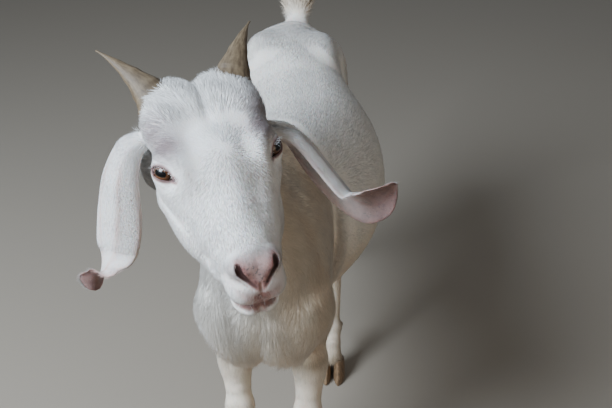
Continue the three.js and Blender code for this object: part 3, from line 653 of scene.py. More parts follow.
def refine(mesh, wanted):
    """Cuts the edges whose two ends are wanted, given as a test on goat-axes points."""
    keep = wanted(coordinates(mesh))
    bm = bmesh.new()
    bm.from_mesh(mesh)
    edges = [e for e in bm.edges if keep[e.verts[0].index] and keep[e.verts[1].index]]
    bmesh.ops.subdivide_edges(bm, edges=edges, cuts=1, use_grid_fill=True)
    bmesh.ops.triangulate(bm, faces=[f for f in bm.faces if len(f.verts) > 4])
    bm.to_mesh(mesh)
    bm.free()


def relaxed(mesh, points, weight, rounds):
    """Moves each vertex, or any other value on it, by its weight towards the mean of its neighbours."""
    pairs = np.empty(len(mesh.edges) * 2, dtype=np.int64)
    mesh.edges.foreach_get("vertices", pairs)
    a, b = pairs.reshape(-1, 2).T
    degree = np.maximum(np.bincount(np.r_[a, b], minlength=len(points)), 1)[:, None]
    for _ in range(rounds):
        total = np.column_stack([np.bincount(np.r_[a, b], np.r_[column[b], column[a]], len(points))
                                 for column in points.T])
        points = points + (total / degree - points) * weight[:, None]
    return points


def in_fine_face(p):
    q = mirrored(to_head(p))
    eye = length(q - EYE - EYE_OUT * 8) < 24
    nose = (q[:, 1] > 98) & (q[:, 2] > -84) & (q[:, 2] < -20) & (q[:, 0] < 27)
    return eye | nose


def in_leg(p):
    return p[:, 2] < 300 - 40 * smooth(p[:, 1], -60, 0)


skin = mesh_object("goat_skin", points, quads)
for region in (in_fine_face, in_leg):
    refine(skin.data, region)
eased = relaxed(skin.data, coordinates(skin.data), np.full(len(skin.data.vertices), 0.35), 2)
set_coordinates(skin.data, eased)
set_coordinates(skin.data, settle(skin_field, coordinates(skin.data)))
print("refined skin:", len(eased), "vertices,", triangles_in(skin.data), "triangles")

# %% [markdown]
# A lop ear is a long leaf of gristle curled round its length, narrow and almost a tube at the root, open
# and flat at the tip, which turns up. It is lofted: a ring of points, which is the cross-section of the
# leaf, is carried along a smooth path. The right ear hangs down, the left one swings out.

# %% Ears
EAR_PATHS = {
    "ear_left": ((15, -321, 701), (34, -314, 686), (54, -316, 662), (72, -322, 641), (93, -334, 625),
                 (114, -343, 630), (137, -346, 655)),
    "ear_right": ((-109, -351, 710), (-127, -357, 696), (-141, -363, 664), (-147, -368, 626),
                  (-151, -372, 597), (-155, -377, 573), (-161, -387, 562), (-172, -393, 560),
                  (-184, -393, 563)),
}
# Where the hollow side looks, at four places from root to tip
EAR_LOOKS_AT = (0, 0.72, 0.86, 0.95)
EAR_HOLLOW = {
    "ear_left": ((-0.72, -0.5, -0.45), (-0.7, -0.45, -0.5), (-0.4, -0.65, -0.65), (0.1, -0.8, -0.6)),
    "ear_right": ((0.7, 0.7, -0.1), (0.5, 0.85, 0), (0.7, 0.05, -0.6), (-0.1, -0.95, 0.2)),
}
EAR_THICKNESS = 2.6
ear_half_width = curve_through((0, 15), (0.15, 25), (0.4, 36), (0.6, 37), (0.8, 28), (0.93, 15), (1, 3))
ear_curl = curve_through((0, 1.9), (0.2, 1.5), (0.5, 1.15), (0.8, 0.8), (1, 0.35))


def smooth_path(stations, count):
    """Points at even steps along a smooth curve through the stations, and their directions."""
    p = np.array(stations, float)
    p = np.vstack([2 * p[0] - p[1], p, 2 * p[-1] - p[-2]])
    knots = np.r_[0, np.cumsum(np.sqrt(length(np.diff(p, axis=0))))]
    dense = []
    for i in range(1, len(p) - 2):
        t = np.linspace(knots[i], knots[i + 1], 40, endpoint=False)[:, None]
        k0, k1, k2, k3 = knots[i - 1:i + 3]
        a = []
        for j in (i - 1, i, i + 1):
            gap = knots[j + 1] - knots[j]
            a.append((knots[j + 1] - t) / gap * p[j] + (t - knots[j]) / gap * p[j + 1])
        b1 = (k2 - t) / (k2 - k0) * a[0] + (t - k0) / (k2 - k0) * a[1]
        b2 = (k3 - t) / (k3 - k1) * a[1] + (t - k1) / (k3 - k1) * a[2]
        dense.append((k2 - t) / (k2 - k1) * b1 + (t - k1) / (k2 - k1) * b2)
    dense = np.vstack(dense + [p[-2:-1]])
    run = np.r_[0, np.cumsum(length(np.diff(dense, axis=0)))]
    even = np.linspace(0, run[-1], count)
    path = np.column_stack([np.interp(even, run, dense[:, k]) for k in range(3)])
    return path, unit(np.gradient(path, axis=0))


def ear_rings(name, stations=56, across=22):
    path, tangent = smooth_path(EAR_PATHS[name], stations)
    t = np.linspace(0, 1, stations)
    looks = unit(np.array(EAR_HOLLOW[name]))
    look = np.column_stack([np.interp(t, EAR_LOOKS_AT, looks[:, k]) for k in range(3)])
    side = unit(np.cross(tangent, look))
    inward = np.cross(side, tangent)
    curl = ear_curl(t)[:, None]
    radius = ear_half_width(t)[:, None] / curl
    a = np.linspace(-1, 1, across + 1)
    a = np.r_[a, a[::-1]][None]
    inside = np.r_[np.zeros(across + 1), np.ones(across + 1)][None]
    wall = EAR_THICKNESS * np.sqrt(np.clip(1 - np.abs(a) ** 7, 0.04, 1)) * (1 - 0.45 * t[:, None])
    # two soft folds run down the ear, and its edge turns a little
    fold = 2.0 * np.exp(-(((a - 0.32) / 0.13) ** 2)) - 1.8 * np.exp(-(((a + 0.28) / 0.15) ** 2))
    fold = fold * np.sin(np.pi * np.clip(t * 1.15, 0, 1))[:, None]
    fold = fold + 1.2 * np.sin(9 * t[:, None] + 2 * a) * a**4
    r = radius + fold + wall * (0.5 - inside)
    angle = curl * a
    rings = (path[:, None] + side[:, None] * (r * np.sin(angle))[..., None]
             + inward[:, None] * (radius * (1 + np.cos(curl)) / 2 - r * np.cos(angle))[..., None])
    # the first rings sink into the head
    inwards = unit((from_head(0, -50, -40) - path[0])[None])[0]
    sink = smooth(t, 0.14, 0)[:, None, None]
    rings = rings + sink * (8 * inwards + 0.35 * (path[:, None] - rings))
    rings[0] = path[0] + 20 * inwards + (rings[1] - path[0] - 8 * inwards) * 0.7
    facts = np.stack(np.broadcast_arrays(t[:, None], a, inside), axis=-1)
    return rings, facts, tangent


def loft_faces(stations, around):
    """Quads between rings, and one face over each end."""
    i = np.arange(stations - 1)[:, None] * around
    j, k = np.arange(around)[None], (np.arange(around)[None] + 1) % around
    sides = np.stack([i + j, i + k, i + around + k, i + around + j], axis=-1).reshape(-1, 4).tolist()
    return sides + [list(range(around))[::-1], list(range((stations - 1) * around, stations * around))]


def facing_out(mesh):
    bm = bmesh.new()
    bm.from_mesh(mesh)
    bmesh.ops.recalc_face_normals(bm, faces=bm.faces)
    bm.to_mesh(mesh)
    bm.free()


ears, ear_facts, ear_tangents = [], [], []
for ear_name in EAR_PATHS:
    rings, facts, tangent = ear_rings(ear_name)
    ear = mesh_object(ear_name + "_leaf", rings.reshape(-1, 3), loft_faces(*rings.shape[:2]))
    facing_out(ear.data)
    ears.append(ear)
    ear_facts.append(facts.reshape(-1, 3))
    ear_tangents.append(np.repeat(tangent, rings.shape[1], axis=0))
ear_points = np.vstack([coordinates(ear.data) for ear in ears])
ear_facts, ear_tangents = np.vstack(ear_facts), np.vstack(ear_tangents)
print("ears:", len(ear_points), "vertices")

# %% [markdown]
# The ears are joined to the skin with a boolean, and the crease where they meet is relaxed, because an
# ear grows out of the head in one piece with it. The leaves themselves are then thrown away.

# %% Join the ears to the skin
def nearest_on_ears(points, reach):
    """For each point, the number of the nearest ear vertex within reach, or -1."""
    found = np.full(len(points), -1)
    tree = KDTree(len(ear_points))
    for i, p in enumerate(ear_points):
        tree.insert(p, i)
    tree.balance()
    low, high = ear_points.min(0) - reach, ear_points.max(0) + reach
    for i in np.nonzero(np.all((points > low) & (points < high), axis=1))[0]:
        _, index, distance = tree.find(points[i])
        if distance < reach:
            found[i] = index
    return found


def unite(base, other):
    join = base.modifiers.new("join", "BOOLEAN")
    join.operation, join.object = "UNION", other
    for solver in ("MANIFOLD", "EXACT"):
        join.solver = solver
        result = bpy.data.meshes.new_from_object(base.evaluated_get(bpy.context.evaluated_depsgraph_get()))
        if len(result.vertices) > len(base.data.vertices) + len(other.data.vertices) // 2:
            break
    base.modifiers.remove(join)
    base.data = result
    bpy.data.objects.remove(other)
    return solver


print("joined with", [unite(skin, ear) for ear in ears])
points = coordinates(skin.data)
on_ear = nearest_on_ears(points, 5)
near_root = (on_ear >= 0) & (ear_facts[on_ear, 0] < 0.3)
depth_in_head = np.full(len(points), FAR)
depth_in_head[near_root] = np.abs(skin_field(points[near_root]))
points = relaxed(skin.data, points, 0.6 * smooth(depth_in_head, 7, 1), 14)
set_coordinates(skin.data, points)
skin.data.shade_smooth()
print("skin with ears:", len(points), "vertices,", triangles_in(skin.data), "triangles")

# %% [markdown]
# Where is what? Every vertex of the skin gets a few facts about its place, worked out once with arrays:
# whether it is on an ear, the head or a leg, which markings it has, and which way its hair lies. Skin and
# coat both read them, so a mark on the skin is also on the hairs over it.

# %% Regions
normals = np.empty(len(points) * 3)
skin.data.vertices.foreach_get("normal", normals)
normals = normals.reshape(-1, 3)
facing_side, facing_back, facing_up = normals.T
forth, height = points[:, 1], points[:, 2]
in_head_axes = to_head(points)
sides = mirrored(in_head_axes)
ear_along, ear_across, ear_inner = (np.where(on_ear >= 0, ear_facts[on_ear, k], 0) for k in range(3))
EAR = (on_ear >= 0) & (ear_along > 0.04)
HEAD = ~EAR & ((points - NECK_TOP) @ TOWARDS_HEAD > -4)
BODY = ~(HEAD | EAR)
LEG = BODY & (height < 300 - 24 * smooth(forth, -60, 0))
TAIL = BODY & (forth > 350) & (height > 598)
NECK = BODY & (forth < -150) & (height > 505)
CHEST = BODY & ~LEG & ~NECK & (forth < -120)
HAUNCH = ~LEG & ~TAIL & (forth > 205)
BARREL = BODY & ~(LEG | TAIL | NECK | CHEST | HAUNCH)
REGIONS = dict(head=HEAD, ear=EAR, neck=NECK, chest=CHEST, barrel=BARREL, haunch=HAUNCH, leg=LEG, tail=TAIL)
print({name: int(mask.sum()) for name, mask in REGIONS.items()})

# %% [markdown]
# This goat is white. Its nose pad, lips, lids and the hollow of its ears are bare pink skin with dark
# flecks. Each line below says where something is and how strong, from places on the head (x to the side,
# n to the nose, u up), along and across an ear, or in the goat's own axes.

# %% Bare skin
def average_on_mesh(values, rounds):
    return relaxed(skin.data, values, np.full(len(values), 0.8), rounds)


pad_half_width = curve_through((-60, 2.0), (-54, 4), (-48, 11), (-40, 17.5), (-33, 20), (-27, 15))
x, n, u = sides.T
nose_pad = smooth(x - pad_half_width(u), 2.5, -2) * smooth(n, 97, 105)
nose_pad = nose_pad * smooth(u, -23, -33) * smooth(u, -61, -57)
nostril_gap = np.where(HEAD & (n > 90), groove(sides, NOSTRIL, NOSTRIL_SIZE), 50)
bare_pad = nose_pad * HEAD * (0.75 + 0.25 * smooth(nostril_gap, 8, 2))

mouth_gap = np.where(HEAD & (n > 60), groove(sides, MOUTH, MOUTH_SIZE), 50)
lower_lip = smooth(mouth_gap, 6.5, 4.0) * smooth(n, 92, 108) * smooth(u, -77, -79.5)
upper_lip = smooth(n, 112, 122) * smooth(u, -52, -58) * smooth(u, -80, -76) * smooth(x, 26, 13)
lip_rim = smooth(mouth_gap, 5, 1.0) * smooth(n, 84, 106) * (0.35 + 0.65 * smooth(x, 13, 5))
split_lip = 0.7 * smooth(x, 10, 3) * smooth(n, 117, 123) * smooth(u, -56, -60)
lips = np.maximum(lower_lip, lip_rim) + split_lip + 0.85 * upper_lip

eye_far = length(sides - EYE)
from_rim = np.abs(lid_gap(sides))
lids = smooth(from_rim, 4.5, 1.5) * smooth(eye_far, 25, 21) * HEAD
above_eye = HEAD * np.maximum(bump(sides, EYE + [-5, -12, 21], [17, 18, 19]),
                              0.8 * bump(sides, EYE + [0, -32, 16], [20, 22, 26]))

hollow = EAR * ear_inner * smooth(ear_along, 0.1, 0.25)
from_vein = np.abs(ear_across) - 0.36 + 0.05 * np.sin(ear_along * 11)
veins = np.exp(-((from_vein / 0.05) ** 2)) * EAR * smooth(ear_along, 0.1, 0.3)
print("vertices on nose, lips, lids and in the ears:", [int((part > 0.5).sum()) for part in
                                                        (bare_pad, lips, lids, hollow)])

# %% [markdown]
# The coat turns cream on the belly, the legs and the tail, peach along the left side of the neck and
# chest, a thin grey over the eyes where skin shows through, and it is stained at the joints of the legs.
# Much of the cream and peach is painted warm shade: it is laid on where surfaces face down or sideways,
# low on the body, under the jaw and on the shaded left side of neck and breast. Grey is also painted shade
# in the hollow of the ears and on top of the back and rump, and dark is painted shade in the nostrils, the
# mouth slit and the turned-up ear tips. The warm tint and the stains have no sharp edge, so those two are
# averaged over the mesh.

# %% Markings and painted shade
pink = np.maximum.reduce([
    bare_pad, lips * HEAD * 0.9, lids * 0.9, hollow * (0.3 + 0.5 * smooth(ear_along, 0.5, 0.8))
])
rosy = 0.45 * EAR * smooth(ear_along, 0.72, 0.95) + 0.5 * veins + 0.22 * above_eye
rosy += 0.35 * EAR * smooth(np.abs(ear_across), 0.78, 0.95)
rosy += 0.20 * HEAD * smooth(n, 92, 112) * smooth(u, -66, -50)
grey = 1.15 * above_eye + 0.4 * HEAD * smooth(n, 88, 104) * smooth(u, -60, -36)
# A little grey on the outside of each ear, and painted shade inside the ear's hollow, darkest towards its
# root.
grey += 0.30 * EAR * (1 - ear_inner) + 0.6 * hollow * smooth(ear_along, 0.8, 0.5)
# Painted shade on the upward-facing back and rump.
grey += 0.12 * ~HEAD * smooth(forth, 120, 260) * smooth(facing_up, 0.6, 0.95)
# Dark: painted shade in the nostril slits, the mouth slit and the turned-up hollow of the ear tips, where it
# also browns the pink skin; dark skin of the lower lip and the lid rims; and the pad darker round each
# nostril.
dark = np.maximum.reduce([
    smooth(nostril_gap, 2.0, 0.0),
    0.35 * smooth(nostril_gap, 4, 0.5) * nose_pad,
    0.35 * lower_lip * HEAD,
    0.55 * hollow * smooth(ear_along, 0.6, 0.85),
    0.7 * smooth(mouth_gap, 1.2, 0.1) * smooth(n, 84, 100),
    0.75 * HEAD * smooth(from_rim, 2.6, 0.6) * smooth(eye_far, 22, 15),
])
# Cream on the body and tail is the coat's own colour. The extra warm tint where surfaces face down or
# sideways, low on the body, on the left side of neck and breast and under the jaw is painted warm shade.
neck_side = smooth((points[:, 0] - NECK_MIDDLE[0]) * 0.9 + facing_side * 26, -6, 40)
warm = 0.07 + BODY * (0.2 + 0.50 * smooth(facing_up, 0.05, -0.8) + 0.30 * smooth(height, 470, 250))
warm += 0.45 * NECK * neck_side * smooth(height, 770, 690) + 0.45 * CHEST * smooth(facing_side, -0.3, 0.6)
warm += 0.42 * TAIL + 0.20 * HAUNCH * smooth(facing_up, 0.7, 0) + 0.16 * HEAD * smooth(u, -74, -92)
warm += 0.12 * BARREL * smooth(facing_up, 0.8, 0.1)
STAIN_REACH = dict(knee=(34, 34, 30), hock=(30, 30, 34), fetlock=(30, 34, 26), foot=(30, 34, 22))
stain = sum(bump(points, leg[joint], reach) for leg in JOINTS.values()
            for joint, reach in STAIN_REACH.items() if joint in leg)
# The same brown also darkens the lower barrel and the bottom of the breast, more towards the bottom.
stain = 0.62 * np.clip(stain, 0, 1) + 0.22 * LEG + 0.30 * BARREL * smooth(height, 300, 262)
stain += 0.22 * CHEST * smooth(height, 345, 315) + 0.16 * HAUNCH * smooth(facing_back, 0.2, 0.9)
warm, stain = average_on_mesh(np.column_stack([warm, stain]), 40).T
masks = dict(pink=pink, dark=dark, rosy=rosy, grey=grey, warm=warm, stain=stain)
masks = {name: np.clip(value, 0, 1) for name, value in masks.items()}
print("mean of each marking:", {name: round(float(value.mean()), 3) for name, value in masks.items()})

# %% [markdown]
# Hair is combed. On the face it runs out from a whorl on the forehead, down the neck and chest, back
# along the trunk, down the legs, up the tail and out along the ears. The direction is flattened onto the
# skin and averaged over the mesh, so that it bends round smoothly from one part to the next.

# %% Lie of the coat
WHORL = np.array([4.0, 4.0, 2.0])
radial = unit(in_head_axes - WHORL)
radial[:, 1] -= 0.9 * smooth(in_head_axes[:, 2], -50, -95) * smooth(in_head_axes[:, 1], 100, 60)
on_face = unit(radial * [1, -1, 1]) @ HEAD_TURN.T
down_neck, down_haunch = unit(np.array([[0.25, 0.62, -0.75], [0, 0.75, -0.7]]))
down = np.array([0.0, 0.12, -1.0])
back = np.column_stack([np.zeros(len(points)), np.ones(len(points)), -0.75 * smooth(facing_up, 0.85, 0.1)])
lie = np.where(HEAD[:, None], on_face, back)
lie = np.where(NECK[:, None], down_neck, lie)
low_chest = smooth(forth, -130, -215)[:, None]
lie = np.where(CHEST[:, None], unit(back) * (1 - low_chest) + down * low_chest, lie)
lie = np.where(HAUNCH[:, None], down_haunch + [0, 0.5, 0] * smooth(facing_up, 0.3, 1)[:, None], lie)
lie = np.where(LEG[:, None], down, lie)
lie = np.where(TAIL[:, None], np.array([0, 0.25, 1.0]), lie)
lie = np.where(EAR[:, None], ear_tangents[on_ear], lie)


def on_skin(direction, normal):
    return unit(direction - normal * np.einsum("ij,ij->i", direction, normal)[:, None])


lie = on_skin(average_on_mesh(lie, 24), normals)
print("lie of the coat on", len(lie), "vertices")

# %% [markdown]
# Materials next. One small function turns a hex colour, as a paint chart gives it, into the linear light
# that the renderer counts in. Another one adds a node, sets it and links it.

# %% Helpers for materials
def linear(hex_colour):
    channels = [int(hex_colour[i:i + 2], 16) / 255 for i in (1, 3, 5)]
    return tuple(c / 12.92 if c <= 0.04045 else ((c + 0.055) / 1.055) ** 2.4 for c in channels) + (1.0,)


def new_material(name):
    material = bpy.data.materials.new(name)
    material.use_nodes = True
    material.node_tree.nodes.clear()
    return material, material.node_tree


def add(tree, kind, *inputs, **settings):
    """Adds a node. Inputs fill its sockets in order. A setting with a capital is a socket, by its name, and
    one without is the node's own. A node that is given as an input stands for its first output."""
    node = tree.nodes.new(kind)
    for name in [name for name in settings if name[0].islower()]:
        setattr(node, name, settings.pop(name))
    shown = [socket for socket in node.inputs if socket.enabled]
    by_name = {socket.name: socket for socket in shown}
    named = [(by_name[name.replace("_", " ")], value) for name, value in settings.items()]
    for socket, value in [*zip(shown, inputs), *named]:
        if isinstance(value, bpy.types.Node):
            value = next(output for output in value.outputs if output.enabled)
        if isinstance(value, bpy.types.NodeSocket):
            tree.links.new(value, socket)
        else:
            socket.default_value = linear(value) if str(value).startswith("#") else value
    return node


print("white in linear light:", [round(c, 3) for c in linear("#ffffff")])

# %% [markdown]
# Goat hide is skin that hair grows from. Its colour is worked out by one function that the coat uses as
# well: white, then cream, peach, grey and rose where the markings say so, then stains. Part of the cream,
# peach and grey is painted shade, as the markings say. Peach and stains are broken up by spots about 30 mm
# across and three times as tall. Bare skin is pink, finely pebbled (about 1 mm), a little moist, with dark
# flecks of pigment 1 to 3 mm across on the nose, and painted shade darkens nostrils, mouth slit and ear tips.
# Where hair grows, the hide is dulled a little, partly as painted shade between the tufts. Light goes a
# little way into it, which softens ears and lips. The spots and hairs of a pattern are given by how many
# of them there are to the metre.

# %% Colours of the goat
WHITE, CREAM, PEACH_AND_WARM_SHADE, LAVENDER, ROSE, STAIN = "#eeeeec", "#e3d8c4", "#dcbf9f", "#67656e", "#bd8878", "#7a6446"
BARE_PINK, BARE_BROWN, PIGMENT, DARK_SKIN_AND_SHADE = "#a67f78", "#845f5c", "#43383a", "#3a2624"
SKIN_AND_SHADE_UNDER_HAIR, ROSY_HAIR = "#ddd5cc", "#b98d7e"
PATCHES, PATCH_SHAPE = 30, (1, 1, 1 / 0.35)
FLECKS, FLECKED_PARTS, BROWN_SPOTS, PEBBLES = 420, 90, 160, 800
HAIRS = ((900, (1, 1 / 0.12, 1 / 0.7)), (700, (1, 1, 1 / 0.14)))


def goat_colour(tree, place):
    """The goat's colour with its markings, painted shade among them, and those markings by name."""
    mark = {name: add(tree, "ShaderNodeAttribute", attribute_name=name).outputs["Fac"] for name in masks}
    tall = add(tree, "ShaderNodeMapping", place, vector_type="TEXTURE", Scale=PATCH_SHAPE)
    patches = add(tree, "ShaderNodeTexNoise", tall, Scale=PATCHES, Detail=3)
    # each colour, the marking that lays it on, and a strength or the spots that break it up
    layers = (
        # cream and peach are partly painted warm shade, and grey partly painted shade
        (CREAM, mark["warm"], 1.5),
        (PEACH_AND_WARM_SHADE, add(tree, "ShaderNodeMapRange", mark["warm"], 0.38, 0.95),
         add(tree, "ShaderNodeMapRange", patches, 0.1, 0.75)),
        (LAVENDER, mark["grey"], 0.9),
        (ROSE, mark["rosy"], 1.0),
        (STAIN, mark["stain"], add(tree, "ShaderNodeMapRange", patches, 0.3, 0.65)),
    )
    colour = WHITE
    for layer, amount, share in layers:
        amount = add(tree, "ShaderNodeMath", amount, share, operation="MULTIPLY", use_clamp=True)
        colour = add(tree, "ShaderNodeMix", amount, colour, layer, data_type="RGBA")
    return colour, mark


def hide_material():
    # Living hide: white hair roots over pinkish skin, with bare pink skin at nose, lips, lids and ears.
    # Where it is bare it is smoother, because it is moist, and pebbles take the place of hairs.
    material, tree = new_material("goat hide")
    place = add(tree, "ShaderNodeTexCoord").outputs["Object"]
    colour, mark = goat_colour(tree, place)
    # Skin under the hair, a little darker, partly as painted shade in the gaps between the tufts.
    colour = add(tree, "ShaderNodeMix", 0.15, colour, SKIN_AND_SHADE_UNDER_HAIR, data_type="RGBA")
    spots = []
    for spots_to_metre, detail, low, high in (
        (FLECKS, 3, 0.56, 0.64), (FLECKED_PARTS, 2, 0.38, 0.6), (BROWN_SPOTS, 2, 0.35, 0.7)
    ):
        noise = add(tree, "ShaderNodeTexNoise", place, Scale=spots_to_metre, Detail=detail)
        spots.append(add(tree, "ShaderNodeMapRange", noise, low, high))
    flecks, flecked_parts, brown = spots
    flecks = add(tree, "ShaderNodeMath", flecks, flecked_parts, operation="MULTIPLY")
    flecks = add(tree, "ShaderNodeMath", flecks, 0.85, operation="MULTIPLY")
    bare = add(tree, "ShaderNodeMix", brown, BARE_PINK, BARE_BROWN, data_type="RGBA")
    bare = add(tree, "ShaderNodeMix", flecks, bare, PIGMENT, data_type="RGBA")
    colour = add(tree, "ShaderNodeMix", mark["pink"], colour, bare, data_type="RGBA")
    # dark skin, and painted shade in the nostrils, the mouth slit and the ear tips
    colour = add(tree, "ShaderNodeMix", mark["dark"], colour, DARK_SKIN_AND_SHADE, data_type="RGBA")
    hairs = []
    for hairs_to_metre, shape in HAIRS:
        drawn_out = add(tree, "ShaderNodeMapping", place, vector_type="TEXTURE", Scale=shape)
        hairs.append(add(tree, "ShaderNodeTexNoise", drawn_out, Scale=hairs_to_metre))
    hairs = add(tree, "ShaderNodeMath", *hairs, operation="ADD")
    pebbles = add(tree, "ShaderNodeTexVoronoi", place, Scale=PEBBLES)
    height = add(tree, "ShaderNodeMix", mark["pink"], hairs, pebbles, data_type="FLOAT")
    bumps = add(tree, "ShaderNodeBump", Strength=0.5, Distance=0.0006, Height=height)
    rough = add(tree, "ShaderNodeMapRange", mark["pink"], 0.0, 1.0, 0.72, 0.42)
    shader = add(tree, "ShaderNodeBsdfPrincipled", colour, Roughness=rough, IOR=1.4, Normal=bumps,
                 Subsurface_Weight=0.18, Subsurface_Radius=(1.0, 0.35, 0.2), Subsurface_Scale=0.004,
                 Specular_IOR_Level=0.35)
    add(tree, "ShaderNodeOutputMaterial", Surface=shader)
    return material


def coat_material():
    # Goat hair: pale keratin fibres. Each tuft is a little lighter or darker, and has a soft sheen.
    material, tree = new_material("goat hair")
    colour, mark = goat_colour(tree, add(tree, "ShaderNodeTexCoord").outputs["Object"])
    tone = add(tree, "ShaderNodeAttribute", attribute_name="tone").outputs["Fac"]
    tone = add(tree, "ShaderNodeMapRange", tone, 0.0, 1.0, 0.66, 1.02)
    colour = add(tree, "ShaderNodeMix", 1.0, colour, tone, data_type="RGBA", blend_type="MULTIPLY")
    rosy = add(tree, "ShaderNodeMath", mark["pink"], 0.55, operation="MULTIPLY")
    colour = add(tree, "ShaderNodeMix", rosy, colour, ROSY_HAIR, data_type="RGBA")
    shader = add(tree, "ShaderNodeBsdfPrincipled", colour, IOR=1.55, Roughness=0.55, Specular_IOR_Level=0.25,
                 Sheen_Weight=0.25, Sheen_Roughness=0.4)
    add(tree, "ShaderNodeOutputMaterial", Surface=shader)
    return material


hide, hair = hide_material(), coat_material()
for name, value in masks.items():
    skin.data.attributes.new(name, "FLOAT", "POINT").data.foreach_set("value", value.astype(np.float32))
skin.data.materials.clear()
skin.data.materials.append(hide)
set_coordinates(skin.data, to_scene(points))
print("materials:", hide.name, "and", hair.name)

# %% [markdown]
# The skin takes the place of every solid of flesh. The ears are part of it, so they are replaced too.

# %% Hand the skin over
FLESH = [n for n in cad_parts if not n.startswith(("eye", "horn", "claw", "dewclaw"))]
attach(skin, "root")
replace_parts(skin, *FLESH)
print("skin replaces", len(FLESH), "solids")

# %% [markdown]
# The coat. A goat has hundreds of hairs to the square centimetre, far too many to model one by one, so
# a tuft stands for a lock of them. Each root is a point on the skin. Even spacing matters more than
# randomness, so the roots are dealt out along the running total of the skin's area, which is weighted by
# how dense the coat should be.

# %% Roots of the tufts
skin.data.calc_loop_triangles()
triangles = np.empty(len(skin.data.loop_triangles) * 3, dtype=np.int64)
skin.data.loop_triangles.foreach_get("vertices", triangles)
triangles = triangles.reshape(-1, 3)
corners = points[triangles]
areas = length(np.cross(corners[:, 1] - corners[:, 0], corners[:, 2] - corners[:, 0])) / 2
random = np.random.default_rng(7)


def most(mask):
    return mask[triangles].sum(1) >= 2


def deal_roots(density, count):
    """Roots spread over the triangles by area times density: the three corners round each, and how much
    each corner counts."""
    total = np.cumsum(areas * density)
    chosen = np.searchsorted(total, (np.arange(count) + random.random(count)) / count * total[-1])
    chosen = np.minimum(chosen, len(triangles) - 1)
    a, b = random.random((2, count))
    flip = a + b > 1
    a, b = np.where(flip, 1 - a, a), np.where(flip, 1 - b, b)
    return triangles[chosen], np.column_stack([1 - a - b, a, b])


def read(values, roots):
    corner, weight = roots
    return np.einsum("ij...,ij->i...", values[corner], weight)


print("skin area:", round(areas.sum() / 1e6, 3), "square metres")

# %% [markdown]
# One Geometry Nodes tree grows every kind of hair on the goat. It puts a thin three-sided spike, closed at
# its root, on each point, turns it so that it lies along the coat with its back outwards, and sizes it.
# The spike's own profile leaves the skin steeply and then levels out, as a hair does. It also marks each
# corner with its place across the spike, which the coat's UV map needs later.

# %% The tree that grows tufts
def tuft_tree():
    tree = bpy.data.node_groups.new("grow tufts", "GeometryNodeTree")
    tree.interface.new_socket("Coat", in_out="OUTPUT", socket_type="NodeSocketGeometry")
    for name, kind, start in (
        ("Roots", "Geometry", None), ("Segments", "Int", 2), ("Thickness", "Float", 0.15),
        ("Fullness", "Float", 1.6), ("Hair", "Material", None)
    ):
        made = tree.interface.new_socket(name, in_out="INPUT", socket_type="NodeSocket" + kind)
        if start is not None:
            made.default_value = start
    given = add(tree, "NodeGroupInput").outputs
    cone = add(tree, "GeometryNodeMeshCone", fill_type="NGON", Vertices=3, Side_Segments=given["Segments"],
               Radius_Top=0.0, Radius_Bottom=0.5, Depth=1.0)
    place = add(tree, "GeometryNodeInputPosition")
    cone = add(tree, "GeometryNodeStoreNamedAttribute", cone, Name="patch", Value=place,
               data_type="FLOAT_VECTOR", domain="POINT")
    inwards, across, along = add(tree, "ShaderNodeSeparateXYZ", place).outputs
    # full in the middle: 1 + fullness * along * (1 - along)
    full = add(tree, "ShaderNodeMath", 1.0, along, operation="SUBTRACT")
    full = add(tree, "ShaderNodeMath", along, full, operation="MULTIPLY")
    full = add(tree, "ShaderNodeMath", full, given["Fullness"], operation="MULTIPLY")
    full = add(tree, "ShaderNodeMath", full, 1.0, operation="ADD")
    # lifted off the skin by along * (1.6 - 0.9 * along)
    lift = add(tree, "ShaderNodeMath", along, 0.9, operation="MULTIPLY")
    lift = add(tree, "ShaderNodeMath", 1.6, lift, operation="SUBTRACT")
    lift = add(tree, "ShaderNodeMath", along, lift, operation="MULTIPLY")
    # the cone's first corner points inwards, so its opposite face is the back of the tuft
    wide = add(tree, "ShaderNodeMath", across, full, operation="MULTIPLY")
    deep = add(tree, "ShaderNodeMath", inwards, full, operation="MULTIPLY")
    deep = add(tree, "ShaderNodeMath", deep, given["Thickness"], operation="MULTIPLY")
    high = add(tree, "ShaderNodeMath", lift, deep, operation="SUBTRACT")
    bent = add(tree, "ShaderNodeCombineXYZ", wide, high, along)
    spike = add(tree, "GeometryNodeSetPosition", cone, Position=bent)
    lie, out, size = (add(tree, "GeometryNodeInputNamedAttribute", name, data_type="FLOAT_VECTOR")
                      for name in ("lie", "out", "size"))
    soft = add(tree, "GeometryNodeInputNamedAttribute", "soft", data_type="FLOAT")
    turn = add(tree, "FunctionNodeAxesToRotation", lie, out, primary_axis="Z", secondary_axis="Y")
    grown = add(tree, "GeometryNodeInstanceOnPoints", given["Roots"], Instance=spike, Rotation=turn,
                Scale=size)
    real = add(tree, "GeometryNodeRealizeInstances", grown)
    # a soft tuft is shaded as if it faced the way the skin under it does
    own = add(tree, "GeometryNodeInputNormal")
    facing = add(tree, "ShaderNodeMix", soft, own, out, data_type="VECTOR")
    shaded = add(tree, "GeometryNodeSetMeshNormal", real, facing, mode="FREE", domain="POINT")
    coloured = add(tree, "GeometryNodeSetMaterial", shaded, Material=given["Hair"])
    add(tree, "NodeGroupOutput", coloured)
    return tree


TUFTS = tuft_tree()
print("tuft tree:", len(TUFTS.nodes), "nodes")

# %% [markdown]
# A coat piece is grown in four moves: put the roots into a mesh with their facts, run the tree, keep the
# result as a plain mesh, and lay out its UV map. That map, OFBake, is an unwrap of the skin itself, such
# as a cylinder round a leg, and each tuft is a small patch of it at the place of its root.

# %% Grow one piece of the coat
PATCH, MARGIN = 0.003, 0.004


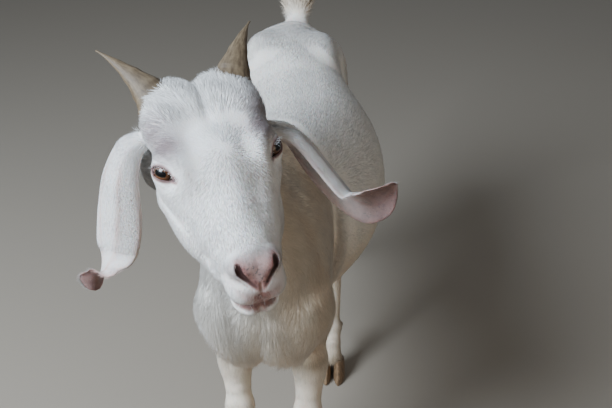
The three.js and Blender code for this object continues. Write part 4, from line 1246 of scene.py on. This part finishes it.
def points_mesh(name, place, facts):
    mesh = bpy.data.meshes.new(name)
    mesh.vertices.add(len(place))
    mesh.vertices.foreach_set("co", to_scene(place).ravel())
    for fact_name, value in facts.items():
        vector = value.ndim == 2
        layer = mesh.attributes.new(fact_name, "FLOAT_VECTOR" if vector else "FLOAT", "POINT")
        layer.data.foreach_set("vector" if vector else "value", value.astype(np.float32).ravel())
    return mesh


def grow(name, place, unwrapped, facts, segments, thickness=0.15, fullness=1.6):
    obj = bpy.data.objects.new(name, points_mesh(name, place, facts))
    bpy.context.scene.collection.objects.link(obj)
    tufts = obj.modifiers.new("tufts", "NODES")
    tufts.node_group = TUFTS
    wanted = {"Segments": segments, "Thickness": thickness, "Fullness": fullness, "Hair": hair}
    for item in TUFTS.interface.items_tree:
        if item.name in wanted:
            tufts[item.identifier] = wanted[item.name]
    mesh = bpy.data.meshes.new_from_object(obj.evaluated_get(bpy.context.evaluated_depsgraph_get()))
    obj.modifiers.remove(tufts)
    obj.data = mesh
    mesh.name = name
    corner = np.empty(len(mesh.loops), dtype=np.int64)
    mesh.loops.foreach_get("vertex_index", corner)
    patch = np.empty(len(mesh.vertices) * 3, dtype=np.float32)
    mesh.attributes["patch"].data.foreach_get("vector", patch)
    tuft = corner // (len(mesh.vertices) // len(place))
    uv = np.clip(unwrapped, MARGIN, 1 - MARGIN)[tuft] + patch.reshape(-1, 3)[corner, :2] * PATCH
    layer = mesh.uv_layers.new(name="OFBake")
    layer.data.foreach_set("uv", uv.astype(np.float32).ravel())
    for used_up in ("patch", "lie", "out", "size", "soft"):
        mesh.attributes.remove(mesh.attributes[used_up])
    mesh.shade_smooth()
    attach(obj, "root")
    return obj


def round_axis(p, start, end):
    """A cylinder's unwrap: the angle round the line from start to end, and the way along it."""
    start, axis = np.array(start, float), np.array(end, float) - start
    along = (p - start) @ axis / (axis @ axis)
    upright = abs(axis[2]) >= 0.8 * length(axis[None])[0]
    side = unit(np.cross(axis, [0, 1.0, 0] if upright else [0.3, 0.2, 1.0])[None])[0]
    third = unit(np.cross(axis, side)[None])[0]
    q = p - start
    return np.column_stack([np.arctan2(q @ side, q @ third) / (2 * math.pi) + 0.5, along])


print("patch of a tuft:", PATCH, "of the map")

# %% [markdown]
# How long, wide and high each tuft is depends on its place: a few millimetres on the face and legs, longer
# curls on the poll, a fringe at the throat and over the hooves, the longest hair on the tail. Short smooth
# hair is also shaded more softly, more as the skin under it faces than as each tuft does.

# %% Length of the coat
def by_region(**sizes):
    return sum(REGIONS[name] * size for name, size in sizes.items())


poll = HEAD * bump(sides, (24, -70, 4), (30, 34, 24))
throat = smooth(facing_back + 0.6 * facing_up, 0.1, -0.7) * (NECK | CHEST)
jaw = HEAD * smooth(u, -70, -96) * smooth(n, 90, 40)
ear_base = HEAD * sum(bump(points, centre, reach) for centre, reach in
                      (((-112, -346, 676), (24, 24, 34)), ((14, -318, 690), (22, 24, 30))))
near_eye = HEAD * smooth(eye_far, 26, 15)
muzzle = HEAD * smooth(n, 66, 104)
feather = LEG * smooth(height, 62, 46)

hair_long = by_region(head=7.5, ear=5.5, neck=18, chest=20, barrel=15, haunch=15, leg=9, tail=30)
hair_long += 6 * poll + 3 * throat + 5 * jaw + 9 * ear_base + 3.2 * HEAD * smooth(n, -20, -60) - 3.0 * muzzle
hair_long += 7 * EAR * ear_inner * smooth(ear_along, 0.4, 0.05)
hair_long += 8 * feather - 3.4 * LEG * smooth(height, 200, 90)
hair_long *= (1 - 0.5 * near_eye) * (1 - 0.7 * HEAD * smooth(mouth_gap, 12, 3) * smooth(n, 70, 100))
hair_wide = by_region(head=0.55, ear=0.52, neck=0.8, chest=0.9, barrel=0.7, haunch=0.7, leg=0.75, tail=1.3)
hair_wide += 0.4 * poll - 0.15 * muzzle
hair_high = by_region(head=1.1, ear=0.75, neck=1.7, chest=2.0, barrel=1.0, haunch=1.0, leg=1.0, tail=6)
hair_high += 0.8 * poll + 1.2 * throat + 1.0 * jaw + 3 * ear_base + 2.2 * feather
hair_high *= 1 - 0.35 * near_eye
soft = by_region(head=0.42, ear=0.5, neck=0.42, chest=0.38, barrel=0.62, haunch=0.62, leg=0.55, tail=0.5)
hair_long, hair_wide, hair_high, soft = average_on_mesh(
    np.column_stack([hair_long, hair_wide, hair_high, soft]), 14
).T
print("hair from", round(float(hair_long.min()), 1), "to", round(float(hair_long.max()), 1), "mm long")

# %% [markdown]
# Nothing grows on the nose pad, in the nostrils, on the lid rims or under the feet, and only a little
# inside the ears. The hair crowds where it is short and fine, on the muzzle, round the eyes and on the
# feet. On the neck and chest it is looser, so there the locks turn further.

# %% Density of the coat
bare = np.maximum.reduce([
    nose_pad * HEAD, smooth(nostril_gap, 1.6, 0.4), lower_lip * HEAD, smooth(mouth_gap, 4.0, 2.5),
    lids > 0.55, HEAD * smooth(lid_gap(sides), 2.4, 1.2) * (eye_far < 23),
    (facing_up < -0.7) * LEG * (height < 60),
])
crowd = (1 - np.clip(bare, 0, 1)) * (1 - hollow * (0.75 + 0.24 * smooth(ear_along, 0.55, 0.75)))
crowd *= (1 - 0.75 * upper_lip * HEAD) * (1 + 0.9 * HEAD * smooth(n, 60, 104) + 0.8 * near_eye)
crowd *= 1 + 0.8 * LEG * smooth(height, 200, 80)
loose = average_on_mesh(1.1 * (NECK | CHEST)[:, None], 14)[:, 0]
print("bare:", round(float((bare > 0.5).mean() * 100), 1), "percent of the skin's vertices")

# %% [markdown]
# Locks: neighbouring tufts turn together. Slow waves over the skin turn them a few degrees, and on the
# poll, where the hair of this goat curls, a stronger wave makes the S-shapes. The spacings are in
# millimetres, the turns in radians. No two tufts are the same size, and each starts just under the skin.

# %% Locks and sizes of single tufts
LOCK, SMALL_LOCK, CURL, TONE_PATCH = 46, 17, 34, 23
LOCK_TURN, SMALL_TURN, CURL_TURN, STRAY = 0.20, 0.09, 1.1, 0.055
SMALLEST, LARGEST = (0.75, 0.65, 0.72), 1.25
ROOT_DEPTH = 0.35


def waves(p, spacing, seed):
    turn = np.random.default_rng(seed).normal(size=(3, 3))
    turn = turn / length(turn)[:, None]
    return sum(np.sin(p @ turn[k] * 2 * math.pi / (spacing * (0.8 + 0.25 * k)) + 2 * k) for k in range(3)) / 3


def turned(direction, normal, angle):
    aside = np.cross(normal, direction)
    return direction * np.cos(angle)[:, None] + aside * np.sin(angle)[:, None]


def tufts_on(where, count):
    """The place of each tuft's root, and its facts, over the part of the skin given by a mask."""
    roots = deal_roots(most(where) * crowd[triangles].mean(1), count)
    place, normal = read(points, roots), unit(read(normals, roots))
    curl = read(poll, roots)
    angle = LOCK_TURN * waves(place, LOCK, 3) + SMALL_TURN * waves(place, SMALL_LOCK, 4)
    angle = angle + random.normal(0, STRAY, count)
    angle = angle * (1 + read(loose, roots)) + curl * CURL_TURN * waves(place, CURL, 5)
    direction = turned(on_skin(read(lie, roots), normal), normal, angle)
    size = np.column_stack([read(hair_wide, roots), read(hair_high, roots), read(hair_long, roots)])
    size = size * random.uniform(SMALLEST, LARGEST, (count, 3))
    lock_tone = 0.5 + 0.5 * waves(place, TONE_PATCH, 6)
    facts = {name: read(value, roots) for name, value in masks.items()}
    facts |= {"lie": direction, "out": normal, "size": size / 1000,
              "soft": read(soft, roots), "tone": 0.55 * random.random(count) + 0.45 * lock_tone}
    return place - ROOT_DEPTH * normal, facts


FRONT = in_head_axes[:, 1] > -34
LEFT = points[:, 0] > trunk_lean(points[:, 1])
HEAD_AXIS = (from_head(0, -110, -40), from_head(0, 150, -60))
TRUNK_AXIS = ((0, -330, 430), (0, 420, 450))
# name: where, how many tufts, segments, axis of the unwrap
COAT = {
    "coat_face": (HEAD & FRONT, 46000, 1, HEAD_AXIS),
    "coat_poll": (HEAD & ~FRONT, 11000, 2, HEAD_AXIS),
    "coat_neck": (NECK, 44000, 1, (NECK_TOP + [-10, -40, 30], (-20, -160, 480))),
    "coat_chest": (CHEST, 44000, 1, ((-15, -240, 590), (-15, -230, 270))),
    "coat_barrel_left": (BARREL & LEFT, 46000, 1, TRUNK_AXIS),
    "coat_barrel_right": (BARREL & ~LEFT, 46000, 1, TRUNK_AXIS),
    "coat_haunches": (HAUNCH, 44000, 1, ((0, 150, 470), (0, 440, 480))),
    "coat_tail": (TAIL, 2600, 2, ((-4, 385, 585), (0, 392, 730))),
}
for name, (where, count, segments, axis) in COAT.items():
    place, facts = tufts_on(where, count)
    grow(name, place, round_axis(place, *axis), facts, segments)

# %% [markdown]
# Legs and ears are thin, so they need their own unwraps: each leg gets a quarter of the map as a
# cylinder, and each ear a half, with its outside beside its inside.

# %% Coat of the legs and ears
def legs_unwrapped(p):
    uv = np.zeros((len(p), 2))
    for k, name in enumerate(LEGS):
        foot = np.array(JOINTS[name]["foot"])
        own = ((p[:, 1] > 0) == (foot[1] > 0)) & ((p[:, 0] > 5) == (foot[0] > 0))
        around = round_axis(p, foot, list(JOINTS[name].values())[0])
        uv[own] = np.clip(around[own], 0.01, 0.99) * [0.25, 1] + [0.25 * k, 0]
    return uv


place, facts = tufts_on(LEG, 46000)
grow("coat_legs", place, legs_unwrapped(place), facts, 1)

place, facts = tufts_on(EAR, 26000)
ear_roots = nearest_on_ears(place, 9)
along, across, inner = ear_facts[ear_roots].T
left_ear = place[:, 0] > -50
unwrapped = np.column_stack([0.5 * left_ear + 0.25 * inner + 0.125 + 0.12 * across, along])
grow("coat_ears", place, unwrapped, facts, 1)

# %% [markdown]
# Lashes and whiskers are single stiff hairs, so they come from the same tree with other sizes. The lashes
# stand along the upper lid just above its rim, and the whiskers are scattered over lips and chin.

# %% Lashes and whiskers
def whiskers_of_head(local, direction, up, sizes):
    """The place and the facts of hairs that are given in head axes."""
    turn = HEAD_TURN.T
    place = HEAD_ORIGIN + (local * [1, -1, 1]) @ turn
    facts = {name: np.zeros(len(local)) for name in masks}
    facts |= {"lie": unit(direction * [1, -1, 1]) @ turn, "out": unit(up * [1, -1, 1]) @ turn,
              "size": sizes / 1000, "soft": np.full(len(local), 0.3),
              "tone": random.uniform(0, 0.6, len(local))}
    return place, facts


LASHES, WHISKERS = 44, 90
# width and height, and the shortest and the longest, in millimetres
LASH_SIZE, WHISKER_SIZE = (0.2, 0.9), (0.2, 1.0)
LASH_LENGTH, WHISKER_LENGTH = (4.5, 8), (7, 14)
s = random.uniform(-12, 4.0, 2 * LASHES)
side = np.repeat([1.0, -1.0], LASHES)[:, None] * [1, 0, 0] + [0, 1, 1]
rim = lid_height(s)[0] + random.uniform(0.3, 1.8, len(s))
high = np.maximum(np.sqrt(np.maximum((EYE_RADIUS + LID) ** 2 - s**2 - rim**2, 0)), SOCKET)
on_lid = np.column_stack([high, s, rim]) @ np.array([EYE_OUT, EYE_FORE, EYE_UP])
outward = unit(on_lid)
lash_way = outward * 0.7 + EYE_OUT * 0.4 - EYE_UP * 0.75 + random.normal(0, 0.16, (len(s), 3))
lash_size = np.column_stack([np.tile(LASH_SIZE, (len(s), 1)), random.uniform(*LASH_LENGTH, len(s))])
place, facts = whiskers_of_head((EYE + on_lid - 0.4 * outward) * side, lash_way * side,
                                np.broadcast_to(EYE_UP, outward.shape) * side, lash_size)
lashes = grow("lashes", place, round_axis(place, *HEAD_AXIS), facts, 3, thickness=0.12, fullness=0.4)

chin_or_lip = most(HEAD & (n > 88) & (u < -58) & (mouth_gap > 8)) & (crowd[triangles].mean(1) > 0.3)
roots = deal_roots(chin_or_lip.astype(float), WHISKERS)
local, outward = to_head(read(points, roots)), unit(read(normals, roots)) @ HEAD_TURN * [1, -1, 1]
whisker_way = outward + [0, -0.1, -0.9] + random.normal(0, 0.25, (WHISKERS, 3))
whisker_size = np.column_stack([np.tile(WHISKER_SIZE, (WHISKERS, 1)),
                                random.uniform(*WHISKER_LENGTH, WHISKERS)])
place, facts = whiskers_of_head(local, whisker_way, outward, whisker_size)
whiskers = grow("whiskers", place, round_axis(place, *HEAD_AXIS), facts, 3, thickness=0.12, fullness=0.3)
print("lashes:", 2 * LASHES, "whiskers:", WHISKERS)

# %% [markdown]
# An eyeball is a wet globe with a clear bulge in front. A goat's pupil is a wide level slot in an amber
# iris with a dark rim, so it sees the whole horizon. Rings of points round the line of sight make the
# globe, and each point keeps its place across, up and along that line, from which the colours are drawn.

# %% Eyes
SIGHT = unit(np.array([[0.66, 0.45, 0.60]]))[0]
# in radii of the eyeball
PUPIL_HALF_WIDTH, PUPIL_HALF_HEIGHT, BULGE = 0.50, 0.25, 0.045
IRIS_BROWN, IRIS_AMBER, IRIS_DARK = "#3a2113", "#6f4526", "#2a1910"
PUPIL_BLACK, RIM_BROWN = "#0a0808", "#241813"


def eye_material():
    # Wet eye: a clear layer over amber iris fibres, a black slot and a brown-black rim.
    material, tree = new_material("wet eye")
    sight = add(tree, "ShaderNodeAttribute", attribute_name="sight").outputs["Vector"]
    across, up, along = add(tree, "ShaderNodeSeparateXYZ", sight).outputs
    squares = [add(tree, "ShaderNodeMath", side, side, operation="MULTIPLY") for side in (across, up)]
    far = add(tree, "ShaderNodeMath", *squares, operation="ADD")
    far = add(tree, "ShaderNodeMath", far, operation="SQRT")
    # the slot's outline, with its round ends, is where the cubes of across and up come to 1
    cubes = []
    for side, half in ((across, PUPIL_HALF_WIDTH), (up, PUPIL_HALF_HEIGHT)):
        side = add(tree, "ShaderNodeMath", side, half, operation="DIVIDE")
        side = add(tree, "ShaderNodeMath", side, operation="ABSOLUTE")
        cubes.append(add(tree, "ShaderNodeMath", side, 3.0, operation="POWER"))
    slot = add(tree, "ShaderNodeMath", *cubes, operation="ADD")
    # the fibres run out from the middle, so their noise is fine round it and coarse along it
    angle = add(tree, "ShaderNodeMath", up, across, operation="ARCTAN2")
    round_it = add(tree, "ShaderNodeMath", angle, 9.0, operation="MULTIPLY")
    along_it = add(tree, "ShaderNodeMath", far, 2.5, operation="MULTIPLY")
    fibres = add(tree, "ShaderNodeCombineXYZ", round_it, along_it)
    fibres = add(tree, "ShaderNodeTexNoise", fibres, Scale=2.2, Detail=3)
    colour = IRIS_BROWN
    for layer, value, start, full in (
        (IRIS_AMBER, fibres, 0.3, 0.7), (IRIS_DARK, far, 0.52, 0.76), (PUPIL_BLACK, slot, 1.15, 0.85),
        (RIM_BROWN, far, 0.74, 0.80), (RIM_BROWN, along, 0.1, 0.0)
    ):
        amount = add(tree, "ShaderNodeMapRange", value, start, full)
        colour = add(tree, "ShaderNodeMix", amount, colour, layer, data_type="RGBA")
    shader = add(tree, "ShaderNodeBsdfPrincipled", colour, Roughness=0.25, IOR=1.38, Specular_IOR_Level=0.5,
                 Coat_Weight=1.0, Coat_Roughness=0.02, Coat_IOR=1.38)
    add(tree, "ShaderNodeOutputMaterial", Surface=shader)
    return material


def keep_vectors(mesh, name, vectors):
    layer = mesh.attributes.new(name, "FLOAT_VECTOR", "POINT")
    layer.data.foreach_set("vector", vectors.astype(np.float32).ravel())


def eyeball(name, mirror, steps=44, around=56):
    polar = np.linspace(0, math.pi, steps + 2)[1:-1]
    bulge = EYE_RADIUS * (1 + BULGE * smooth(polar, 0.75, 0.25))
    level = unit((EYE_FORE - SIGHT * (EYE_FORE @ SIGHT))[None])[0]
    upright = np.cross(SIGHT, level) * np.sign(np.cross(SIGHT, level) @ EYE_UP)
    round_angle = np.linspace(0, 2 * math.pi, around, endpoint=False)
    wide, deep = np.sin(polar)[:, None], np.cos(polar)[:, None]
    place = [wide * np.cos(round_angle), wide * np.sin(round_angle), deep * np.ones(around)]
    poles = np.array([[0, 0, 1.0], [0, 0, -1.0]])
    place = np.vstack([np.stack(place, axis=-1).reshape(-1, 3), poles])
    radius = np.r_[np.repeat(bulge, around), EYE_RADIUS * (1 + BULGE), EYE_RADIUS]
    local = EYE + (place * radius[:, None]) @ np.array([level, upright, SIGHT])
    faces = loft_faces(steps, around)[:-2]
    faces += [[len(place) - 2, j, (j + 1) % around] for j in range(around)]
    last = (steps - 1) * around
    faces += [[len(place) - 1, last + (j + 1) % around, last + j] for j in range(around)]
    globe = mesh_object(name, to_scene(HEAD_ORIGIN + (local * [mirror, -1, 1]) @ HEAD_TURN.T), faces)
    facing_out(globe.data)
    keep_vectors(globe.data, "sight", place)
    globe.data.materials.append(wet_eye)
    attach(globe, "root")
    return globe


wet_eye = eye_material()
for name, mirror in (("left", 1), ("right", -1)):
    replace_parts(eyeball("eyeball_" + name, mirror), "eye_" + name)
print("eyes look along", np.round(SIGHT, 2), "in head axes")

# %% [markdown]
# Horns and hooves are keratin, as nails are. A kid's horn is a flattened cone that sweeps back and out,
# with a ring for each spurt of growth. Its rings of points follow a curve from root to tip.

# %% Horn and hoof material
HORN_DARK, HORN_LIGHT, WORN_HORN = "#514332", "#776852", "#4f463c"
HOOF_DARK, HOOF_LIGHT = "#57442f", "#8b7156"


def keratin(name, dark, light):
    # Horn: dull grey-brown, streaked along its growth with fine grooves, and greyer where it is worn.
    material, tree = new_material(name)
    grain = add(tree, "ShaderNodeAttribute", attribute_name="grain").outputs["Vector"]
    streaks, worn, grooves = (add(tree, "ShaderNodeTexNoise", grain, Scale=to_metre, Detail=detail)
                              for to_metre, detail in ((380, 4), (60, 2), (900, 3)))
    streaky = add(tree, "ShaderNodeMapRange", streaks, 0.32, 0.68)
    greyer = add(tree, "ShaderNodeMapRange", worn, 0.45, 0.75, 0.0, 0.4)
    colour = add(tree, "ShaderNodeMix", streaky, dark, light, data_type="RGBA")
    colour = add(tree, "ShaderNodeMix", greyer, colour, WORN_HORN, data_type="RGBA")
    bumps = add(tree, "ShaderNodeBump", Strength=0.4, Distance=0.0003, Height=grooves)
    rough = add(tree, "ShaderNodeMapRange", streaks, 0.0, 1.0, 0.5, 0.7)
    shader = add(tree, "ShaderNodeBsdfPrincipled", colour, Roughness=rough, IOR=1.55, Normal=bumps,
                 Specular_IOR_Level=0.4)
    add(tree, "ShaderNodeOutputMaterial", Surface=shader)
    return material


HORN_RADIUS, HORN_FLATNESS, TIP_SHARE = 25.5, 0.68, 0.045


def horn(name, mirror, arch, stations=120, around=40):
    root, tip = from_head(mirror * 36, -76, -10), from_head(mirror * 81, -152, 4)
    middle = from_head(mirror * 54, -114, arch)
    t = np.linspace(0, 1, stations)[:, None]
    centre = root * (1 - t) ** 2 + middle * 2 * t * (1 - t) + tip * t**2
    tangent = unit(np.gradient(centre, axis=0))
    outward = HEAD_TURN @ [mirror, 0, 0]
    wide = unit(outward - tangent * (tangent @ outward)[:, None])
    thin = np.cross(tangent, wide)
    rings = 0.03 * np.sin(t * math.pi * 9) + 0.012 * np.sin(t * 74 + 3 * np.sin(t * 9))
    rings = rings + 0.005 * np.sin(t * 190)
    size = HORN_RADIUS * np.maximum((1 - t) * (0.62 + 0.38 * (1 - t) ** 2) * (1 + rings), TIP_SHARE)
    angle = np.linspace(0, 2 * math.pi, around, endpoint=False)
    keel = 1 + 0.05 * np.cos(angle - 2.2) ** 8
    place = (centre[:, None] + wide[:, None] * (size * np.cos(angle) * keel)[..., None]
             + thin[:, None] * (size * HORN_FLATNESS * np.sin(angle) * keel)[..., None])
    made = mesh_object(name, to_scene(place.reshape(-1, 3)), loft_faces(stations, around))
    facing_out(made.data)
    # where each vertex is in the horn's grain, squeezed along its growth
    grain = np.broadcast_arrays(12 * np.cos(angle), 12 * np.sin(angle), 26 * t + 30 * mirror)
    keep_vectors(made.data, "grain", np.stack(grain, axis=-1) / 1000)
    return made


horn_stuff = keratin("horn keratin", HORN_DARK, HORN_LIGHT)
# side, mirror, and how high the horn arches between root and tip
for name, mirror, arch in (("left", 1, 17), ("right", -1, 6)):
    piece = horn("horn_sheath_" + name, mirror, arch)
    piece.data.materials.append(horn_stuff)
    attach(piece, "root")
    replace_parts(piece, "horn_" + name)
print("horns: 2, each about", 2 * HORN_RADIUS, "mm wide at its root")

# %% [markdown]
# A goat walks on two claws per foot, each a D-shaped box of horn with a flat sole, and carries two small
# dewclaws behind the fetlock. The wall slopes back from the toe, with faint level growth lines.

# %% Claws and dewclaws
# The claws reach a little way up into the foot, past the coronet, so that no gap shows there.
CLAW_HEIGHT, CLAW_LENGTH, CLAW_WIDTH, HALF_CLEFT = 35.5, 56, 21, 1.8
DEWCLAW_LENGTH, DEWCLAW_PLACE = 17, (10, 22, -13)
claw_length = curve_through((0, 0.93), (0.06, 1.0), (0.5, 0.86), (0.9, 0.7), (1, 0.66))
claw_width = curve_through((0, 0.9), (0.06, 1.0), (0.5, 0.97), (0.9, 0.9), (1, 0.86))
claw_shift = curve_through((0, 9), (0.5, 4), (1, -1))


def claw(name, leg, away, layers=26, around=36):
    x0, y0, _ = leg["foot"]
    share = np.linspace(0, 1, layers)[:, None]
    angle = np.linspace(0, 2 * math.pi, around, endpoint=False)
    forward = np.cos(angle)
    sideways = np.where(np.sin(angle) > 0, 0.66, 0.34) * np.sin(angle)
    narrow = 1 - 0.3 * np.maximum(forward, 0) ** 2
    lines = 1 + 0.012 * np.sin(share * 70)
    middle = HALF_CLEFT + 0.34 * CLAW_WIDTH + 1.5 * np.maximum(forward, 0) * (1 - share)
    px = x0 + away * (middle + CLAW_WIDTH * claw_width(share) * sideways * narrow * lines)
    py = y0 - claw_shift(share) - forward * CLAW_LENGTH / 2 * claw_length(share) * lines
    top = CLAW_HEIGHT - CORONET_SLOPE * (py - y0)
    place = np.stack([px, py, share * top], axis=-1).reshape(-1, 3)
    wall = mesh_object(name, to_scene(place), loft_faces(layers, around))
    keep_vectors(wall.data, "grain", place * [1, 1, 0.2] / 1000)
    return wall


def dewclaw(name, leg, away, layers=14, around=20):
    share = np.linspace(0, 1, layers)[:, None]
    angle = np.linspace(0, 2 * math.pi, around, endpoint=False)
    radius = (3.6 + 2.6 * share) * np.sqrt(np.clip(1 - (1 - np.minimum(share / 0.3, 1)) ** 2, 0.02, 1))
    along = DEWCLAW_LENGTH * (share - 0.5)
    local = np.broadcast_arrays(radius * np.cos(angle), radius * np.sin(angle), along)
    turn = np.array(Matrix.Rotation(0.25 * away, 3, "Z") @ Matrix.Rotation(0.62, 3, "X"))
    place = np.stack(local, axis=-1).reshape(-1, 3) @ turn.T + leg["fetlock"]
    place = place + np.array(DEWCLAW_PLACE) * [away, 1, 1]
    wall = mesh_object(name, to_scene(place), loft_faces(layers, around))
    keep_vectors(wall.data, "grain", place * [1, 1, 0.2] / 1000)
    return wall


hoof_stuff = keratin("hoof keratin", HOOF_DARK, HOOF_LIGHT)
for leg_name in LEGS:
    leg = JOINTS[leg_name]
    outer = 1 if leg["foot"][0] > 0 else -1
    for make, node in ((claw, "claw_"), (dewclaw, "dewclaw_")):
        for where, away in (("outer", outer), ("inner", -outer)):
            piece = make(f"{node}wall_{leg_name}_{where}", leg, away)
            facing_out(piece.data)
            piece.data.materials.append(hoof_stuff)
            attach(piece, "root")
            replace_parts(piece, f"{node}{leg_name}_{where}")
print("claws:", 2 * len(LEGS), "dewclaws:", 2 * len(LEGS))

# %% [markdown]
# A plain grey-brown floor, one large soft light high on the goat's right as from an open sky, a weak one
# below it, a weak warm one on the other side, and a pale blue surround. White hair only looks white when
# nothing around it is brighter. The light from below makes no glints, because the eyes have one already.

# %% Floor, lights and surround
bpy.ops.mesh.primitive_plane_add(size=60, location=(0, 0, 0))
floor = bpy.context.object
floor.name = "studio_floor"
# Matt floor paint: one even grey-brown with no shine.
floor_paint, paint_tree = new_material("matt floor paint")
shader = add(paint_tree, "ShaderNodeBsdfPrincipled", "#968d80", Roughness=0.9)
add(paint_tree, "ShaderNodeOutputMaterial", Surface=shader)
floor.data.materials.append(floor_paint)
floor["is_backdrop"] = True


def soft_light(name, place, target, size, watts, colour, glossy=True):
    lamp = bpy.data.lights.new(name, "AREA")
    lamp.shape, lamp.size, lamp.energy, lamp.color = "DISK", size, watts, linear(colour)[:3]
    obj = bpy.data.objects.new(name, lamp)
    obj.location = place
    obj.visible_glossy = glossy
    obj.rotation_euler = (obj.location - Vector(target)).to_track_quat("Z", "Y").to_euler()
    bpy.context.scene.collection.objects.link(obj)


soft_light("key", (-1.25, -1.15, 1.8), (-0.05, -0.4, 0.66), 1.1, 110, "#dfecfb")
soft_light("bounce", (-1.7, -1.5, 0.5), (-0.05, -0.3, 0.45), 1.2, 16, "#eef0f0", glossy=False)
soft_light("fill", (2.0, -2.2, 1.2), (0, 0, 0.5), 1.6, 12, "#ffe4c4")
world = bpy.data.worlds.new("studio")
bpy.context.scene.world = world
world.use_nodes = True
sky = world.node_tree.nodes["Background"].inputs
sky["Color"].default_value, sky["Strength"].default_value = linear("#dfe8f2"), 0.24
print("lights: 3 and a surround")

# %% [markdown]
# Last, the finished goat's box is measured.

# %% Sizes and finish
low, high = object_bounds()
